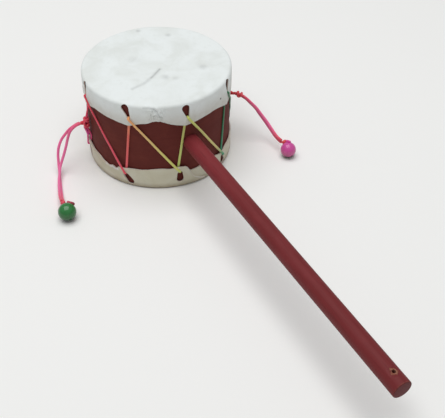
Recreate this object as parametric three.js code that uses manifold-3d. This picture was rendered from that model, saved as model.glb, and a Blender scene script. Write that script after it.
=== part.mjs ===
// A small two-headed rattle drum on a stick, standing on its lower head with the handle level.
// Millimetres, +Z up. The origin is the centre of the underside, and the handle points along +X.
import * as THREE from "three";
import { mergeVertices } from "three/addons/utils/BufferGeometryUtils.js";
import Module from "manifold-3d";

const wasm = await Module();
wasm.setup();

// Driving dimensions of the drum
const DRUM_RADIUS = 45;
const DRUM_HEIGHT = 60;
const SKIN_THICKNESS = 0.7;
const RIM_ROUND = 1.8;
const GAP = 0.3;
const SHELL_WALL = 4.5;
const SHELL_CHAMFER = 1;
const SHELL_SIDES = 64;

// Driving dimensions of the handle
const HANDLE_RADIUS = 5;
const HANDLE_HEIGHT = 31.3;
const HANDLE_END = 240;
const HANDLE_CHAMFER = 0.4;
const HANDLE_SIDES = 28;
const HANG_HOLE_RADIUS = 1;
const HANG_HOLE_FROM_END = 7.2;

// Driving dimensions of the lacing. It clears the skins it lies on, and keeps a little further off
// the shell, because its straight stretches cut the round short. At a hole's tip it is drawn in and
// rises before it turns out. Its upright runs are free of the shell at two heights, and where a
// string pulls on one, the pull reaches this far up and down.
const CORD_DIAMETER = 1.5;
const CORD_SIDES = 8;
const LACING_SIDES = 6;
const LACING_CLEARANCE = 0.3;
const CHORD_SAG = 0.05;
const TURN_IN = 0.2;
const TURN_RISE = 0.7;
const FREE_HEIGHTS = [22, 38];
const PULL_REACH = 10;

// Driving dimensions of the strings, their hitches, beads and knots
const STRING_DIAMETER = 1.7;
const HITCH_RUN = 47.3;
const HITCH_HEIGHT = 3.8;
const HITCH_ROUND = 0.4;
const HITCH_SIDES = 12;
const GREEN_BEAD_RADIUS = 5.3;
const PINK_BEAD_RADIUS = 4.9;
const BEAD_BORE_RADIUS = 1.5;
const BEAD_SIDES = 14;
const BEAD_STEPS = 8;
const KNOT_RADIUS = 1.5;
const KNOT_STEM = 3;
const KNOT_STAND = 0.75;
const KNOT_SIDES = 10;
const KNOT_STEPS = 5;

// Sizes worked out from them
const SHELL_RADIUS = DRUM_RADIUS - SKIN_THICKNESS - GAP;
const CORD_RADIUS = CORD_DIAMETER / 2;
const STRING_RADIUS = STRING_DIAMETER / 2;
const UNDER_RUN = SHELL_RADIUS + GAP + CORD_RADIUS + CHORD_SAG;
const OVER_RUN = DRUM_RADIUS + LACING_CLEARANCE + CORD_RADIUS;

// How far a skin stands off where the cord runs under it: on the cord, one column away and two
const LIFT_BY_COLUMN = [1.9, 0.6, 0];
const COLUMNS_PER_HOLE = 10;

// The skins. Depths count from a skin's own face towards the middle of the drum, and turns are
// degrees round from the handle. A tip is the narrow end of a teardrop hole, where the cord pulls,
// lean is how far the round end stands to the right of the tip, seen from outside, and aside is how
// many degrees the upright run of the cord stands beside it.
const UPPER = {
  heightAt: (depth) => DRUM_HEIGHT - depth,
  up: 1,
  holeLength: 7,
  tipRow: 8.2,
  edge: 13,
  tips: [
    { turn: -91.5, depth: 8.2, lean: -1.5 },
    { turn: -46.5, depth: 8.2, lean: -2.2 },
    { turn: -2.9, depth: 9, lean: -1, aside: -1.3 },
    { turn: 39.6, depth: 7.8, lean: 0.6, aside: -1.4 },
    { turn: 87, depth: 8.4, lean: -0.8 },
    { turn: 131, depth: 8.8, lean: -1.6 },
    { turn: 176, depth: 8.2, lean: -0.6 },
    { turn: 222, depth: 8.6, lean: -1.2 },
  ],
  bites: [
    { turn: -92, deeper: 1.4, spread: 8 },
    { turn: -50, deeper: 0.9, spread: 12 },
    { turn: -26, deeper: -3.2, spread: 8 },
    { turn: -2, deeper: 1.6, spread: 10 },
    { turn: 41, deeper: 3.4, spread: 12 },
    { turn: 87, deeper: 1.5, spread: 9 },
    { turn: 110, deeper: -1.4, spread: 8 },
    { turn: 131, deeper: 1.6, spread: 9 },
    { turn: 176, deeper: 1.4, spread: 10 },
    { turn: 201, deeper: -1.2, spread: 9 },
    { turn: 223, deeper: 1.3, spread: 9 },
  ],
};
const LOWER = {
  heightAt: (depth) => depth,
  up: -1,
  holeLength: 6.4,
  tipRow: 9.6,
  edge: 12.6,
  tips: [
    { turn: -98.4, depth: 9.4, lean: 1.2 },
    { turn: -52.8, depth: 8.8, lean: 2.8 },
    { turn: -10.4, depth: 11.2, lean: 0, aside: -1.3 },
    { turn: 31.6, depth: 9.6, lean: 1 },
    { turn: 80.5, depth: 9.2, lean: 0.8 },
    { turn: 124.5, depth: 9.8, lean: 1.8 },
    { turn: 169.5, depth: 9, lean: 0.4 },
    { turn: 215, depth: 9.4, lean: 1.4 },
  ],
  bites: [
    { turn: -69, deeper: -2.4, spread: 8 },
    { turn: -48, deeper: 1, spread: 9 },
    { turn: -26, deeper: 2.6, spread: 12 },
    { turn: -10, deeper: 3.2, spread: 6.5 },
    { turn: 2, deeper: -2.4, spread: 7 },
    { turn: 55, deeper: 1, spread: 12 },
    { turn: 104, deeper: 1.6, spread: 10 },
    { turn: 148, deeper: 1.2, spread: 9 },
    { turn: 192, deeper: 1.8, spread: 11 },
    { turn: 238, deeper: 1.1, spread: 9 },
  ],
};
const HOLE_COUNT = UPPER.tips.length;
const COLUMNS = HOLE_COUNT * COLUMNS_PER_HOLE;
const CORD_COLUMNS = (CORD_RADIUS / (2 * Math.PI * DRUM_RADIUS)) * COLUMNS;
const TIP_ROUND = 1.1;
const HOLE_ROUND = 2.2;
const HOLE_CUT = 10;
const HOLE_ARC_STEPS = 3;

// The lacing's upright runs that the two strings are hitched on, and how high
const HITCHES = [
  { run: 0, height: 30 },
  { run: 4, height: 27.5 },
];

// The strings: points of the middle line between a string's two strands, with half the distance
// between them and the turn of strand a round the line, from the side (0) to the top (90).
const LEFT_STRING = [
  { at: [-4.3, -50.3, 30.7], half: 1, roll: 22 },
  { at: [-4.7, -52.4, 30.1], half: 1, roll: 20 },
  { at: [-5.3, -54.8, 28.5], half: 1.05, roll: 12 },
  { at: [-6, -57, 26.2], half: 1.5, roll: 0 },
  { at: [-6.5, -59, 22.9], half: 2.1, roll: -8 },
  { at: [-6.7, -61.2, 19], half: 2.3, roll: -18 },
  { at: [-6, -63.3, 15], half: 2.35, roll: -12 },
  { at: [-5.1, -64.9, 11.2], half: 2.05, roll: 5 },
  { at: [-3.5, -66.4, 7.8], half: 1.5, roll: 30 },
  { at: [-1.3, -67.9, 4.9], half: 1.05, roll: 62 },
  { at: [2.3, -69.4, 3.1], half: 1, roll: 82 },
  { at: [6.8, -71.2, 2.3], half: 1, roll: 102 },
  { at: [12.4, -73.1, 2.2], half: 1, roll: 115 },
  { at: [18, -74.8, 2.6], half: 1, roll: 122 },
  { at: [23.5, -76.3, 3.7], half: 1, roll: 126 },
  { at: [28, -77.1, 5.1], half: 1, roll: 128 },
  { at: [31.6, -77.8, 6.9], half: 1, roll: 128 },
];
const RIGHT_STRING = [
  { at: [7.4, 49.9, 27.3], half: 1, roll: 140 },
  { at: [8.7, 50.7, 27.6], half: 1, roll: 135 },
  { at: [10.9, 51.9, 27.8], half: 1, roll: 130 },
  { at: [12.9, 53.2, 27.3], half: 1, roll: 128 },
  { at: [14.9, 54.8, 26], half: 1, roll: 132 },
  { at: [17.1, 56.6, 23.8], half: 1, roll: 132 },
  { at: [19.4, 59.2, 20.4], half: 1, roll: 125 },
  { at: [23.1, 61.3, 16.2], half: 1, roll: 112 },
  { at: [26.6, 63.1, 12.6], half: 1, roll: 100 },
  { at: [31.3, 63.9, 9.9], half: 1, roll: 96 },
  { at: [35.7, 64.1, 8.3], half: 1, roll: 96 },
  { at: [39.6, 64.3, 7.5], half: 1, roll: 100 },
  { at: [43.2, 64.9, 7.2], half: 1, roll: 100 },
];

// The beads: centres and the way their mouths face
const GREEN_BEAD = { centre: [39, -78.1, 5.4], mouth: [-0.92, 0, 0.39] };
const PINK_BEAD = { centre: [49.9, 65.7, 5], mouth: [-0.9, 0.05, 0.45] };

// Colours and finishes
const DARK_RED_PAINT = { color: 0x5c2a26, roughness: 0.55, metalness: 0 };
const HANDLE_PAINT = { color: 0x7c3438, roughness: 0.5, metalness: 0 };
const WHITE_HIDE = { color: 0xd9dedb, roughness: 0.6, metalness: 0 };
const LACING_SATIN = { color: 0xc9b25a, roughness: 0.4, metalness: 0 };
const PINK_SATIN = { color: 0xdd5f8c, roughness: 0.45, metalness: 0 };
const GREEN_GLOSS = { color: 0x1f6b36, roughness: 0.2, metalness: 0 };
const PINK_GLOSS = { color: 0xc85c96, roughness: 0.22, metalness: 0 };

// A point at a turn round the drum, a distance from its axis and a height
function onDrum(turn, radius, height) {
  const angle = THREE.MathUtils.degToRad(turn);
  return new THREE.Vector3(radius * Math.cos(angle), radius * Math.sin(angle), height);
}

// The tip after the last is the first, a whole turn on
function tipAt(skin, index) {
  const tip = skin.tips[index % HOLE_COUNT];
  return { ...tip, turn: tip.turn + 360 * Math.floor(index / HOLE_COUNT) };
}

// The closed solid of a geometry, with its corners merged
function solidOf(geometry) {
  const bare = geometry.clone();
  bare.deleteAttribute("normal");
  bare.deleteAttribute("uv");
  const merged = mergeVertices(bare, 1e-4);
  return new wasm.Manifold(
    new wasm.Mesh({
      numProp: 3,
      vertProperties: merged.attributes.position.array,
      triVerts: new Uint32Array(merged.index.array),
    }),
  );
}

function geometryOf(solid) {
  const mesh = solid.getMesh();
  const geometry = new THREE.BufferGeometry();
  geometry.setAttribute("position", new THREE.BufferAttribute(mesh.vertProperties, 3));
  geometry.setIndex(new THREE.BufferAttribute(mesh.triVerts, 1));
  geometry.computeVertexNormals();
  return geometry;
}

// The depth of a skin's cut edge: cut by eye, pulled longer at the holes and bitten between them
function edgeDepth(skin, turn) {
  let depth = skin.edge;
  for (const bite of skin.bites) {
    const away = THREE.MathUtils.euclideanModulo(turn - bite.turn + 180, 360) - 180;
    depth += bite.deeper * Math.exp(-((away / bite.spread) ** 2));
  }
  return depth;
}

// The turn of the cord's upright run under a skin at a depth past the hole's tip
function runTurn(index, height) {
  const upper = tipAt(UPPER, index);
  const lower = tipAt(LOWER, index);
  const low = LOWER.heightAt(lower.depth);
  const high = UPPER.heightAt(upper.depth);
  const lowTurn = lower.turn + (lower.aside ?? 0);
  const highTurn = upper.turn + (upper.aside ?? 0);
  return THREE.MathUtils.mapLinear(height, low, high, lowTurn, highTurn);
}

// How many columns away from a hole's upright run a turn is, at a height
function columnsBeside(index, turn, height) {
  return (Math.abs(turn - runTurn(index, height)) / 360) * COLUMNS;
}

// How far a skin stands off the drum beside such a run, from the distance to it in columns
function liftBeside(columnsAway) {
  const near = Math.min(Math.floor(columnsAway), LIFT_BY_COLUMN.length - 1);
  const next = Math.min(near + 1, LIFT_BY_COLUMN.length - 1);
  return THREE.MathUtils.lerp(LIFT_BY_COLUMN[near], LIFT_BY_COLUMN[next], columnsAway - near);
}

// The turn of a skin's column at a height. The first of a hole's columns follows the cord under it.
function columnTurn(skin, column, height) {
  const hole = Math.floor(column / COLUMNS_PER_HOLE);
  const share = (column % COLUMNS_PER_HOLE) / COLUMNS_PER_HOLE;
  const held = Math.min(height, UPPER.heightAt(UPPER.tipRow));
  const level = Math.max(held, LOWER.heightAt(LOWER.tipRow));
  return THREE.MathUtils.lerp(runTurn(hole, level), runTurn(hole + 1, level), share);
}

function columnLift(column) {
  const share = column % COLUMNS_PER_HOLE;
  return liftBeside(Math.min(share, COLUMNS_PER_HOLE - share));
}

// One skin's section from the axis, along one side and back to the axis: a distance from the
// axis and a depth, or the edge's own depth, and whether the cord under it lifts it there.
function skinSection(skin) {
  const rimStart = DRUM_RADIUS - RIM_ROUND;
  const rimMiddle = RIM_ROUND * (1 - Math.SQRT1_2);
  const inside = DRUM_RADIUS - SKIN_THICKNESS;
  const section = [
    { radius: 0, depth: 0 },
    { radius: rimStart, depth: 0 },
    { radius: DRUM_RADIUS - rimMiddle, depth: rimMiddle },
    { radius: DRUM_RADIUS, depth: RIM_ROUND },
    { radius: DRUM_RADIUS, depth: skin.tipRow, lifted: true },
    { radius: DRUM_RADIUS, edge: true, lifted: true },
    { radius: inside, edge: true, lifted: true },
    { radius: inside, depth: skin.tipRow, lifted: true },
    { radius: inside, depth: RIM_ROUND },
    { radius: rimStart, depth: SKIN_THICKNESS },
    { radius: 0, depth: SKIN_THICKNESS },
  ];
  return skin.up > 0 ? section.reverse() : section;
}

// The outline of a hole, seen from outside with its tip at the origin and its round end above
function teardrop(length, lean) {
  const rise = length - HOLE_ROUND - TIP_ROUND;
  const along = Math.atan2(rise, lean);
  const touch = Math.acos((TIP_ROUND - HOLE_ROUND) / Math.hypot(rise, lean));
  const outline = new THREE.Shape();
  outline.absarc(lean, length - HOLE_ROUND, HOLE_ROUND, along - touch, along + touch, false);
  outline.absarc(0, TIP_ROUND, TIP_ROUND, along + touch, along - touch + 2 * Math.PI, false);
  return outline;
}

// The solid that a hole takes out of a skin
function holeCutter(skin, tip) {
  const outline = teardrop(skin.holeLength, tip.lean * skin.up);
  const cutter = new THREE.ExtrudeGeometry(outline, {
    depth: HOLE_CUT,
    bevelEnabled: false,
    curveSegments: HOLE_ARC_STEPS,
  });
  const out = onDrum(tip.turn, 1, 0);
  const up = new THREE.Vector3(0, 0, skin.up);
  const side = new THREE.Vector3().crossVectors(up, out);
  const place = new THREE.Matrix4().makeBasis(side, up, out);
  place.setPosition(onDrum(tip.turn, DRUM_RADIUS - HOLE_CUT / 2, skin.heightAt(tip.depth)));
  return cutter.applyMatrix4(place);
}

// A skin: a turned cap whose skirt is moved to its wavy edge and over the cord under it
function skinGeometry(skin) {
  const section = skinSection(skin);
  const blank = section.map((row) => new THREE.Vector2(row.radius, row.depth ?? skin.edge));
  const cap = new THREE.LatheGeometry(blank, COLUMNS);
  const position = cap.attributes.position;
  for (let column = 0; column <= COLUMNS; column++) {
    section.forEach((row, index) => {
      const whole = column % COLUMNS;
      const level = skin.heightAt(row.depth ?? skin.tipRow);
      const depth = row.edge ? edgeDepth(skin, columnTurn(skin, whole, level)) : row.depth;
      const height = skin.heightAt(depth);
      const radius = row.radius + (row.lifted ? columnLift(whole) : 0);
      const point = onDrum(columnTurn(skin, whole, height), radius, height);
      position.setXYZ(column * section.length + index, point.x, point.y, point.z);
    });
  }
  let solid = solidOf(cap);
  for (const tip of skin.tips) {
    solid = solid.subtract(solidOf(holeCutter(skin, tip)));
  }
  return geometryOf(solid);
}

// A closed turned solid about Z from rows of distance and height
function turned(rows, sides) {
  const points = rows.map(([radius, height]) => new THREE.Vector2(radius, height));
  return new THREE.LatheGeometry(points, sides).rotateX(Math.PI / 2);
}

function shellGeometry() {
  const inside = SHELL_RADIUS - SHELL_WALL;
  const low = SKIN_THICKNESS + GAP;
  const high = DRUM_HEIGHT - low;
  const ring = turned(
    [
      [inside, low],
      [SHELL_RADIUS - SHELL_CHAMFER, low],
      [SHELL_RADIUS, low + SHELL_CHAMFER],
      [SHELL_RADIUS, high - SHELL_CHAMFER],
      [SHELL_RADIUS - SHELL_CHAMFER, high],
      [inside, high],
      [inside, low],
    ],
    SHELL_SIDES,
  );
  const bore = new THREE.CylinderGeometry(
    HANDLE_RADIUS + GAP,
    HANDLE_RADIUS + GAP,
    3 * DRUM_RADIUS,
    HANDLE_SIDES,
  );
  bore.rotateZ(Math.PI / 2).translate(0, 0, HANDLE_HEIGHT);
  return geometryOf(solidOf(ring).subtract(solidOf(bore)));
}

// The dowel, from flush with the far side of the shell to its square-cut end
function handleGeometry() {
  const start = -Math.sqrt(SHELL_RADIUS ** 2 - HANDLE_RADIUS ** 2) + GAP;
  const narrow = HANDLE_RADIUS - HANDLE_CHAMFER;
  const dowel = turned(
    [
      [0, start],
      [HANDLE_RADIUS, start],
      [HANDLE_RADIUS, HANDLE_END - HANDLE_CHAMFER],
      [narrow, HANDLE_END],
      [0, HANDLE_END],
    ],
    HANDLE_SIDES,
  );
  const drill = new THREE.CylinderGeometry(
    HANG_HOLE_RADIUS,
    HANG_HOLE_RADIUS,
    4 * HANDLE_RADIUS,
    CORD_SIDES,
  );
  dowel.rotateY(Math.PI / 2);
  drill.rotateX(Math.PI / 2).translate(HANDLE_END - HANG_HOLE_FROM_END, 0, 0);
  const drilled = geometryOf(solidOf(dowel).subtract(solidOf(drill)));
  return drilled.translate(0, 0, HANDLE_HEIGHT);
}

// The cord's turn through a hole: from under the skin, round the hole's tip and out over the skin
function throughHole(skin, index) {
  const tip = tipAt(skin, index);
  const tipHeight = skin.heightAt(tip.depth);
  const stand = liftBeside(columnsBeside(index, tip.turn, tipHeight));
  const under = skin.heightAt(tip.depth + CORD_DIAMETER);
  const inside = DRUM_RADIUS - SKIN_THICKNESS + stand - CORD_RADIUS;
  const rounds = [
    { radius: inside - TURN_IN, short: TURN_RISE },
    { radius: DRUM_RADIUS - SKIN_THICKNESS / 2 + stand, short: CORD_RADIUS + GAP },
    { radius: OVER_RUN + stand, short: TURN_RISE },
  ];
  return [
    onDrum(runTurn(index, under), UNDER_RUN, under),
    ...rounds.map(({ radius, short }) =>
      onDrum(tip.turn, radius, skin.heightAt(tip.depth - short)),
    ),
  ];
}

// Where the slanting run crosses a skin's cut edge, as a depth, found by closing in on it
function edgeCrossing(skin, turnAt) {
  const rounds = 4;
  let depth = skin.edge;
  for (let round = 0; round < rounds; round++) {
    depth = edgeDepth(skin, turnAt(skin.heightAt(depth)));
  }
  return depth;
}

// The slanting run from an upper hole to the next lower hole. It lies on both skins, and clear of
// the swelling over the upright run beside it, and goes straight from one cut edge to the other.
function slantingRun(index) {
  const from = tipAt(UPPER, index);
  const to = tipAt(LOWER, index + 1);
  const high = UPPER.heightAt(from.depth);
  const low = LOWER.heightAt(to.depth);
  const turnAt = (height) => THREE.MathUtils.mapLinear(height, high, low, from.turn, to.turn);
  const overSkin = (skin, tip, hole) => {
    const first = tip.depth + CORD_DIAMETER;
    const last = edgeCrossing(skin, turnAt) + CORD_RADIUS;
    return [first, (first + last) / 2, last].map((depth) => {
      const height = skin.heightAt(depth);
      const turn = turnAt(height);
      const columnsAway = columnsBeside(hole, turn, height) - CORD_COLUMNS;
      const radius = OVER_RUN + liftBeside(Math.max(columnsAway, 0));
      return onDrum(turn, radius, height);
    });
  };
  const middle = (high + low) / 2;
  return [
    ...overSkin(UPPER, from, index),
    onDrum(turnAt(middle), UNDER_RUN, middle),
    ...overSkin(LOWER, to, index + 1).reverse(),
  ];
}

// The upright run from a lower hole to the upper hole above it, under both skins. A string that
// is hitched on it pulls it away from the shell.
function uprightRun(index) {
  const hitch = HITCHES.find(({ run }) => run === index % HOLE_COUNT);
  if (!hitch) {
    return FREE_HEIGHTS.map((height) => onDrum(runTurn(index, height), UNDER_RUN, height));
  }
  const hold = (HITCH_HEIGHT + CORD_DIAMETER) / 2;
  const pulled = [
    { from: -PULL_REACH, radius: UNDER_RUN },
    { from: -hold, radius: HITCH_RUN },
    { from: hold, radius: HITCH_RUN },
    { from: PULL_REACH, radius: UNDER_RUN },
  ];
  const turn = runTurn(index, hitch.height);
  return pulled.map(({ from, radius }) => onDrum(turn, radius, hitch.height + from));
}

// The whole lacing. Its ends meet under the upper skin, on the side away from the handle.
function lacingRoute() {
  const start = 6;
  const route = [];
  for (let index = start; index < start + HOLE_COUNT; index++) {
    route.push(...throughHole(UPPER, index));
    route.push(...slantingRun(index));
    route.push(...throughHole(LOWER, index + 1).reverse());
    route.push(...uprightRun(index + 1));
  }
  const [first] = route;
  route.push(new THREE.Vector3(first.x, first.y, first.z - 2 * GAP));
  return route;
}

// A smooth line whose sections stand exactly at its points, close together where it bends
class PointedCurve extends THREE.CatmullRomCurve3 {
  getUtoTmapping(share) {
    return share;
  }
}

function cordSection(radius, sides) {
  const corners = [];
  for (let side = 0; side < sides; side++) {
    const angle = (2 * Math.PI * side) / sides;
    corners.push(new THREE.Vector2(radius * Math.cos(angle), radius * Math.sin(angle)));
  }
  return new THREE.Shape(corners);
}

function tubeAlong(points, radius, sides) {
  const extrudePath = new PointedCurve(points, false, "centripetal");
  const section = cordSection(radius, sides);
  return new THREE.ExtrudeGeometry(section, { steps: points.length - 1, extrudePath });
}

// One strand of a doubled string: its middle line, moved aside by half the strands' distance
function strandPoints(rows, sign) {
  const middle = new THREE.CatmullRomCurve3(rows.map((row) => new THREE.Vector3(...row.at)));
  const up = new THREE.Vector3(0, 0, 1);
  return rows.map((row, index) => {
    const along = middle.getTangent(index / (rows.length - 1));
    const side = new THREE.Vector3().crossVectors(up, along).normalize();
    const top = new THREE.Vector3().crossVectors(along, side);
    const roll = THREE.MathUtils.degToRad(row.roll);
    return new THREE.Vector3(...row.at)
      .addScaledVector(side, sign * row.half * Math.cos(roll))
      .addScaledVector(top, sign * row.half * Math.sin(roll));
  });
}

// The hitch of a string: a thick ring round the pulled-out run of the lacing
function hitchGeometry({ run, height }) {
  const inner = CORD_RADIUS + GAP + CHORD_SAG;
  const outer = inner + STRING_DIAMETER;
  const half = HITCH_HEIGHT / 2;
  const ring = turned(
    [
      [inner, -half],
      [outer - HITCH_ROUND, -half],
      [outer, HITCH_ROUND - half],
      [outer, half - HITCH_ROUND],
      [outer - HITCH_ROUND, half],
      [inner, half],
      [inner, -half],
    ],
    HITCH_SIDES,
  );
  const centre = onDrum(runTurn(run, height), HITCH_RUN, height);
  return ring.translate(centre.x, centre.y, centre.z);
}

// Moves a geometry turned about Z so that it looks along a direction from a point
function aimed(geometry, direction, point) {
  const along = new THREE.Vector3(...direction).normalize();
  const turn = new THREE.Quaternion().setFromUnitVectors(new THREE.Vector3(0, 0, 1), along);
  return geometry.applyQuaternion(turn).translate(...point);
}

function beadGeometry(radius, bead) {
  const half = Math.sqrt(radius ** 2 - BEAD_BORE_RADIUS ** 2);
  const end = Math.atan2(half, BEAD_BORE_RADIUS);
  const rows = [];
  for (let step = 0; step <= BEAD_STEPS; step++) {
    const angle = THREE.MathUtils.lerp(-end, end, step / BEAD_STEPS);
    rows.push([radius * Math.cos(angle), radius * Math.sin(angle)]);
  }
  rows.push(rows[0]);
  return aimed(turned(rows, BEAD_SIDES), bead.mouth, bead.centre);
}

// The knot that fills a bead's mouth: a ball, with the cord's end below it in the bore
function knotGeometry(radius, bead) {
  const centre = radius + KNOT_STAND;
  const neck = -Math.acos(STRING_RADIUS / KNOT_RADIUS);
  const rows = [
    [0, centre - KNOT_RADIUS - KNOT_STEM],
    [STRING_RADIUS, centre - KNOT_RADIUS - KNOT_STEM],
  ];
  for (let step = 0; step < KNOT_STEPS; step++) {
    const angle = THREE.MathUtils.lerp(neck, Math.PI / 2, step / KNOT_STEPS);
    rows.push([KNOT_RADIUS * Math.cos(angle), centre + KNOT_RADIUS * Math.sin(angle)]);
  }
  rows.push([0, centre + KNOT_RADIUS]);
  return aimed(turned(rows, KNOT_SIDES), bead.mouth, bead.centre);
}

const drum = new THREE.Group();

function addPiece(name, geometry, finish) {
  const piece = new THREE.Mesh(geometry, new THREE.MeshStandardMaterial(finish));
  piece.name = name;
  drum.add(piece);
}

function addString(name, rows, hitch) {
  addPiece(`${name}_hitch`, hitchGeometry(hitch), PINK_SATIN);
  for (const [letter, sign] of [["a", 1], ["b", -1]]) {
    const strand = tubeAlong(strandPoints(rows, sign), STRING_RADIUS, CORD_SIDES);
    addPiece(`${name}_string_${letter}`, strand, PINK_SATIN);
  }
}

function addBead(name, radius, bead, finish) {
  addPiece(`${name}_bead`, beadGeometry(radius, bead), finish);
  addPiece(`${name}_knot`, knotGeometry(radius, bead), PINK_SATIN);
}

addPiece("shell", shellGeometry(), DARK_RED_PAINT);
addPiece("upper_skin", skinGeometry(UPPER), WHITE_HIDE);
addPiece("lower_skin", skinGeometry(LOWER), WHITE_HIDE);
addPiece("handle", handleGeometry(), HANDLE_PAINT);
addPiece("lacing_cord", tubeAlong(lacingRoute(), CORD_RADIUS, LACING_SIDES), LACING_SATIN);
addString("left", LEFT_STRING, HITCHES[0]);
addString("right", RIGHT_STRING, HITCHES[1]);
addBead("green", GREEN_BEAD_RADIUS, GREEN_BEAD, GREEN_GLOSS);
addBead("pink", PINK_BEAD_RADIUS, PINK_BEAD, PINK_GLOSS);

export default drum;
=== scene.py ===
"""Dresses a small two-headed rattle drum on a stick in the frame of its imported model.

Sizes are in millimetres in every class, and a mesh becomes metres as it is finished. +Z is up, +X
runs along the handle, and the origin is the centre of the drum's underside.
"""
from __future__ import annotations

import logging
import math
from dataclasses import dataclass, replace
from enum import Enum
from typing import Callable, Optional, Sequence, Union

import bmesh
import bpy
from mathutils import Matrix, Vector, noise


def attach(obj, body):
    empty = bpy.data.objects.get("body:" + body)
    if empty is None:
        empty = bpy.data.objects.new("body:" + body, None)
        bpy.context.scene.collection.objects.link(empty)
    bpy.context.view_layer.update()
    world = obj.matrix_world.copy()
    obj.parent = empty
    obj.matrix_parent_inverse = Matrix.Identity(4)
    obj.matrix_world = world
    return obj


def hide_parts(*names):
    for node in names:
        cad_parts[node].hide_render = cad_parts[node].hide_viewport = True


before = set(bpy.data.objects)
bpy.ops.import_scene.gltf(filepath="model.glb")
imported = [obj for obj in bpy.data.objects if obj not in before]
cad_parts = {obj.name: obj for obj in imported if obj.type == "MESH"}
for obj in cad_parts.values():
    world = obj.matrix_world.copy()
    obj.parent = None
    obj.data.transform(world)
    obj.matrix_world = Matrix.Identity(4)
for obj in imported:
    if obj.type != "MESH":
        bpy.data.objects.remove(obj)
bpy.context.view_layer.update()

LOG = logging.getLogger("drum")
MM = 0.001
CHART = "chart"
ALONG_X = Matrix.Rotation(math.pi / 2, 4, "Y")

Rgb = tuple[float, float, float, float]
Dye = tuple[tuple[float, Rgb], ...]
Chain = tuple[tuple[float, float], ...]
Place = tuple[float, float, float]

BLACK: Rgb = (0.0, 0.0, 0.0, 1.0)


def srgb(red: int, green: int, blue: int) -> Rgb:
    """Turns a display colour, 0 to 255, into the linear colour that shaders use."""
    parts = [channel / 255 for channel in (red, green, blue)]
    low, gain, power = 0.04045, 12.92, 2.4
    linear = [p / gain if p <= low else ((p + 0.055) / 1.055) ** power for p in parts]
    return (linear[0], linear[1], linear[2], 1.0)


# Plain mathematics of shapes


def on_drum(turn: float, radius: float, height: float) -> Vector:
    """Gives the point at a turn in degrees round the drum, a distance from its axis and a height."""
    angle = math.radians(turn)
    return Vector((radius * math.cos(angle), radius * math.sin(angle), height))


def round_drum(chain: Chain, radius: float) -> tuple[Place, ...]:
    """Gives the points of a chain of turns and heights at a distance from the drum's axis."""
    return tuple(tuple(on_drum(turn, radius, height)) for turn, height in chain)


def turn_of(point: Vector) -> float:
    """Gives the turn of a point round the drum, in degrees from -180 to 180."""
    return math.degrees(math.atan2(point.y, point.x))


def turned_by(turn: float, start: float) -> float:
    """Gives how far a turn is from another, in degrees from -180 to 180."""
    return (turn - start + 180) % 360 - 180


def mix(low: float, high: float, share: float) -> float:
    """Gives the value a share of the way from one to another."""
    return low + (high - low) * share


def eased(low: float, high: float, value: float) -> float:
    """Gives 0 below one value, 1 above another and a smooth rise between them."""
    share = min(max((value - low) / (high - low), 0), 1)
    return share * share * (3 - 2 * share)


def swell(away: float, spread: float) -> float:
    """Gives a smooth hump of height 1, a spread wide on each side."""
    return math.exp(-((away / spread) ** 2))


def ripple(point: Vector, size: float, octaves: int = 3) -> float:
    """Gives smooth noise from about -1 to 1 whose lumps have a size in millimetres."""
    return noise.fractal(point / size, 1.0, 2.0, octaves, noise_basis="PERLIN_ORIGINAL")


def nearest_on(line: Sequence[Vector], point: Vector) -> tuple[float, Vector]:
    """Finds the nearest point of a chain of straight stretches.

    Args:
        line: The corners of the chain.
        point: The point it is measured from.

    Returns:
        The distance, and the direction of the nearest stretch.
    """
    best, way = math.inf, Vector((1, 0, 0))
    for start, end in zip(line, line[1:]):
        along = end - start
        share = min(max((point - start).dot(along) / along.length_squared, 0), 1)
        away = (point - start - along * share).length
        if away < best:
            best, way = away, along.normalized()
    return best, way


@dataclass(frozen=True)
class Route:
    """A smooth line through given points."""

    points: tuple[Vector, ...]

    def drawn(self, step: float) -> list[Vector]:
        """Draws the line as a centripetal spline.

        Args:
            step: About how far apart its samples lie.

        Returns:
            The samples, from the first point to the last.
        """
        first, last = self.points[0], self.points[-1]
        chain = [2 * first - self.points[1], *self.points, 2 * last - self.points[-2]]
        samples = []
        for before, start, end, after in zip(chain, chain[1:], chain[2:], chain[3:]):
            pieces = max(1, round((end - start).length / step))
            for piece in range(pieces):
                samples.append(self._between(before, start, end, after, piece / pieces))
        return [*samples, last.copy()]

    @staticmethod
    def _between(before: Vector, start: Vector, end: Vector, after: Vector, share: float) -> Vector:
        """Gives the point a share of the way along the spline's stretch between two points."""
        stretches = ((before, start), (start, end), (end, after))
        gaps = [max((b - a).length, 1e-6) ** 0.5 for a, b in stretches]
        t0, t1 = 0.0, gaps[0]
        t2 = t1 + gaps[1]
        t3 = t2 + gaps[2]
        t = mix(t1, t2, share)
        a1 = before.lerp(start, (t - t0) / (t1 - t0))
        a2 = start.lerp(end, (t - t1) / (t2 - t1))
        a3 = end.lerp(after, (t - t2) / (t3 - t2))
        b1 = a1.lerp(a2, (t - t0) / (t2 - t0))
        b2 = a2.lerp(a3, (t - t1) / (t3 - t1))
        return b1.lerp(b2, (t - t1) / (t2 - t1))


def length_of(line: Sequence[Vector]) -> float:
    """Gives the length of a chain of points."""
    return sum((b - a).length for a, b in zip(line, line[1:]))


def ways_along(line: Sequence[Vector]) -> list[Vector]:
    """Gives the direction of a chain of points at each of them."""
    ways = []
    for index in range(len(line)):
        start, end = line[max(index - 1, 0)], line[min(index + 1, len(line) - 1)]
        ways.append((end - start).normalized())
    return ways


# Shader maths


Value = Union["Wire", float, Sequence[float]]


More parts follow.
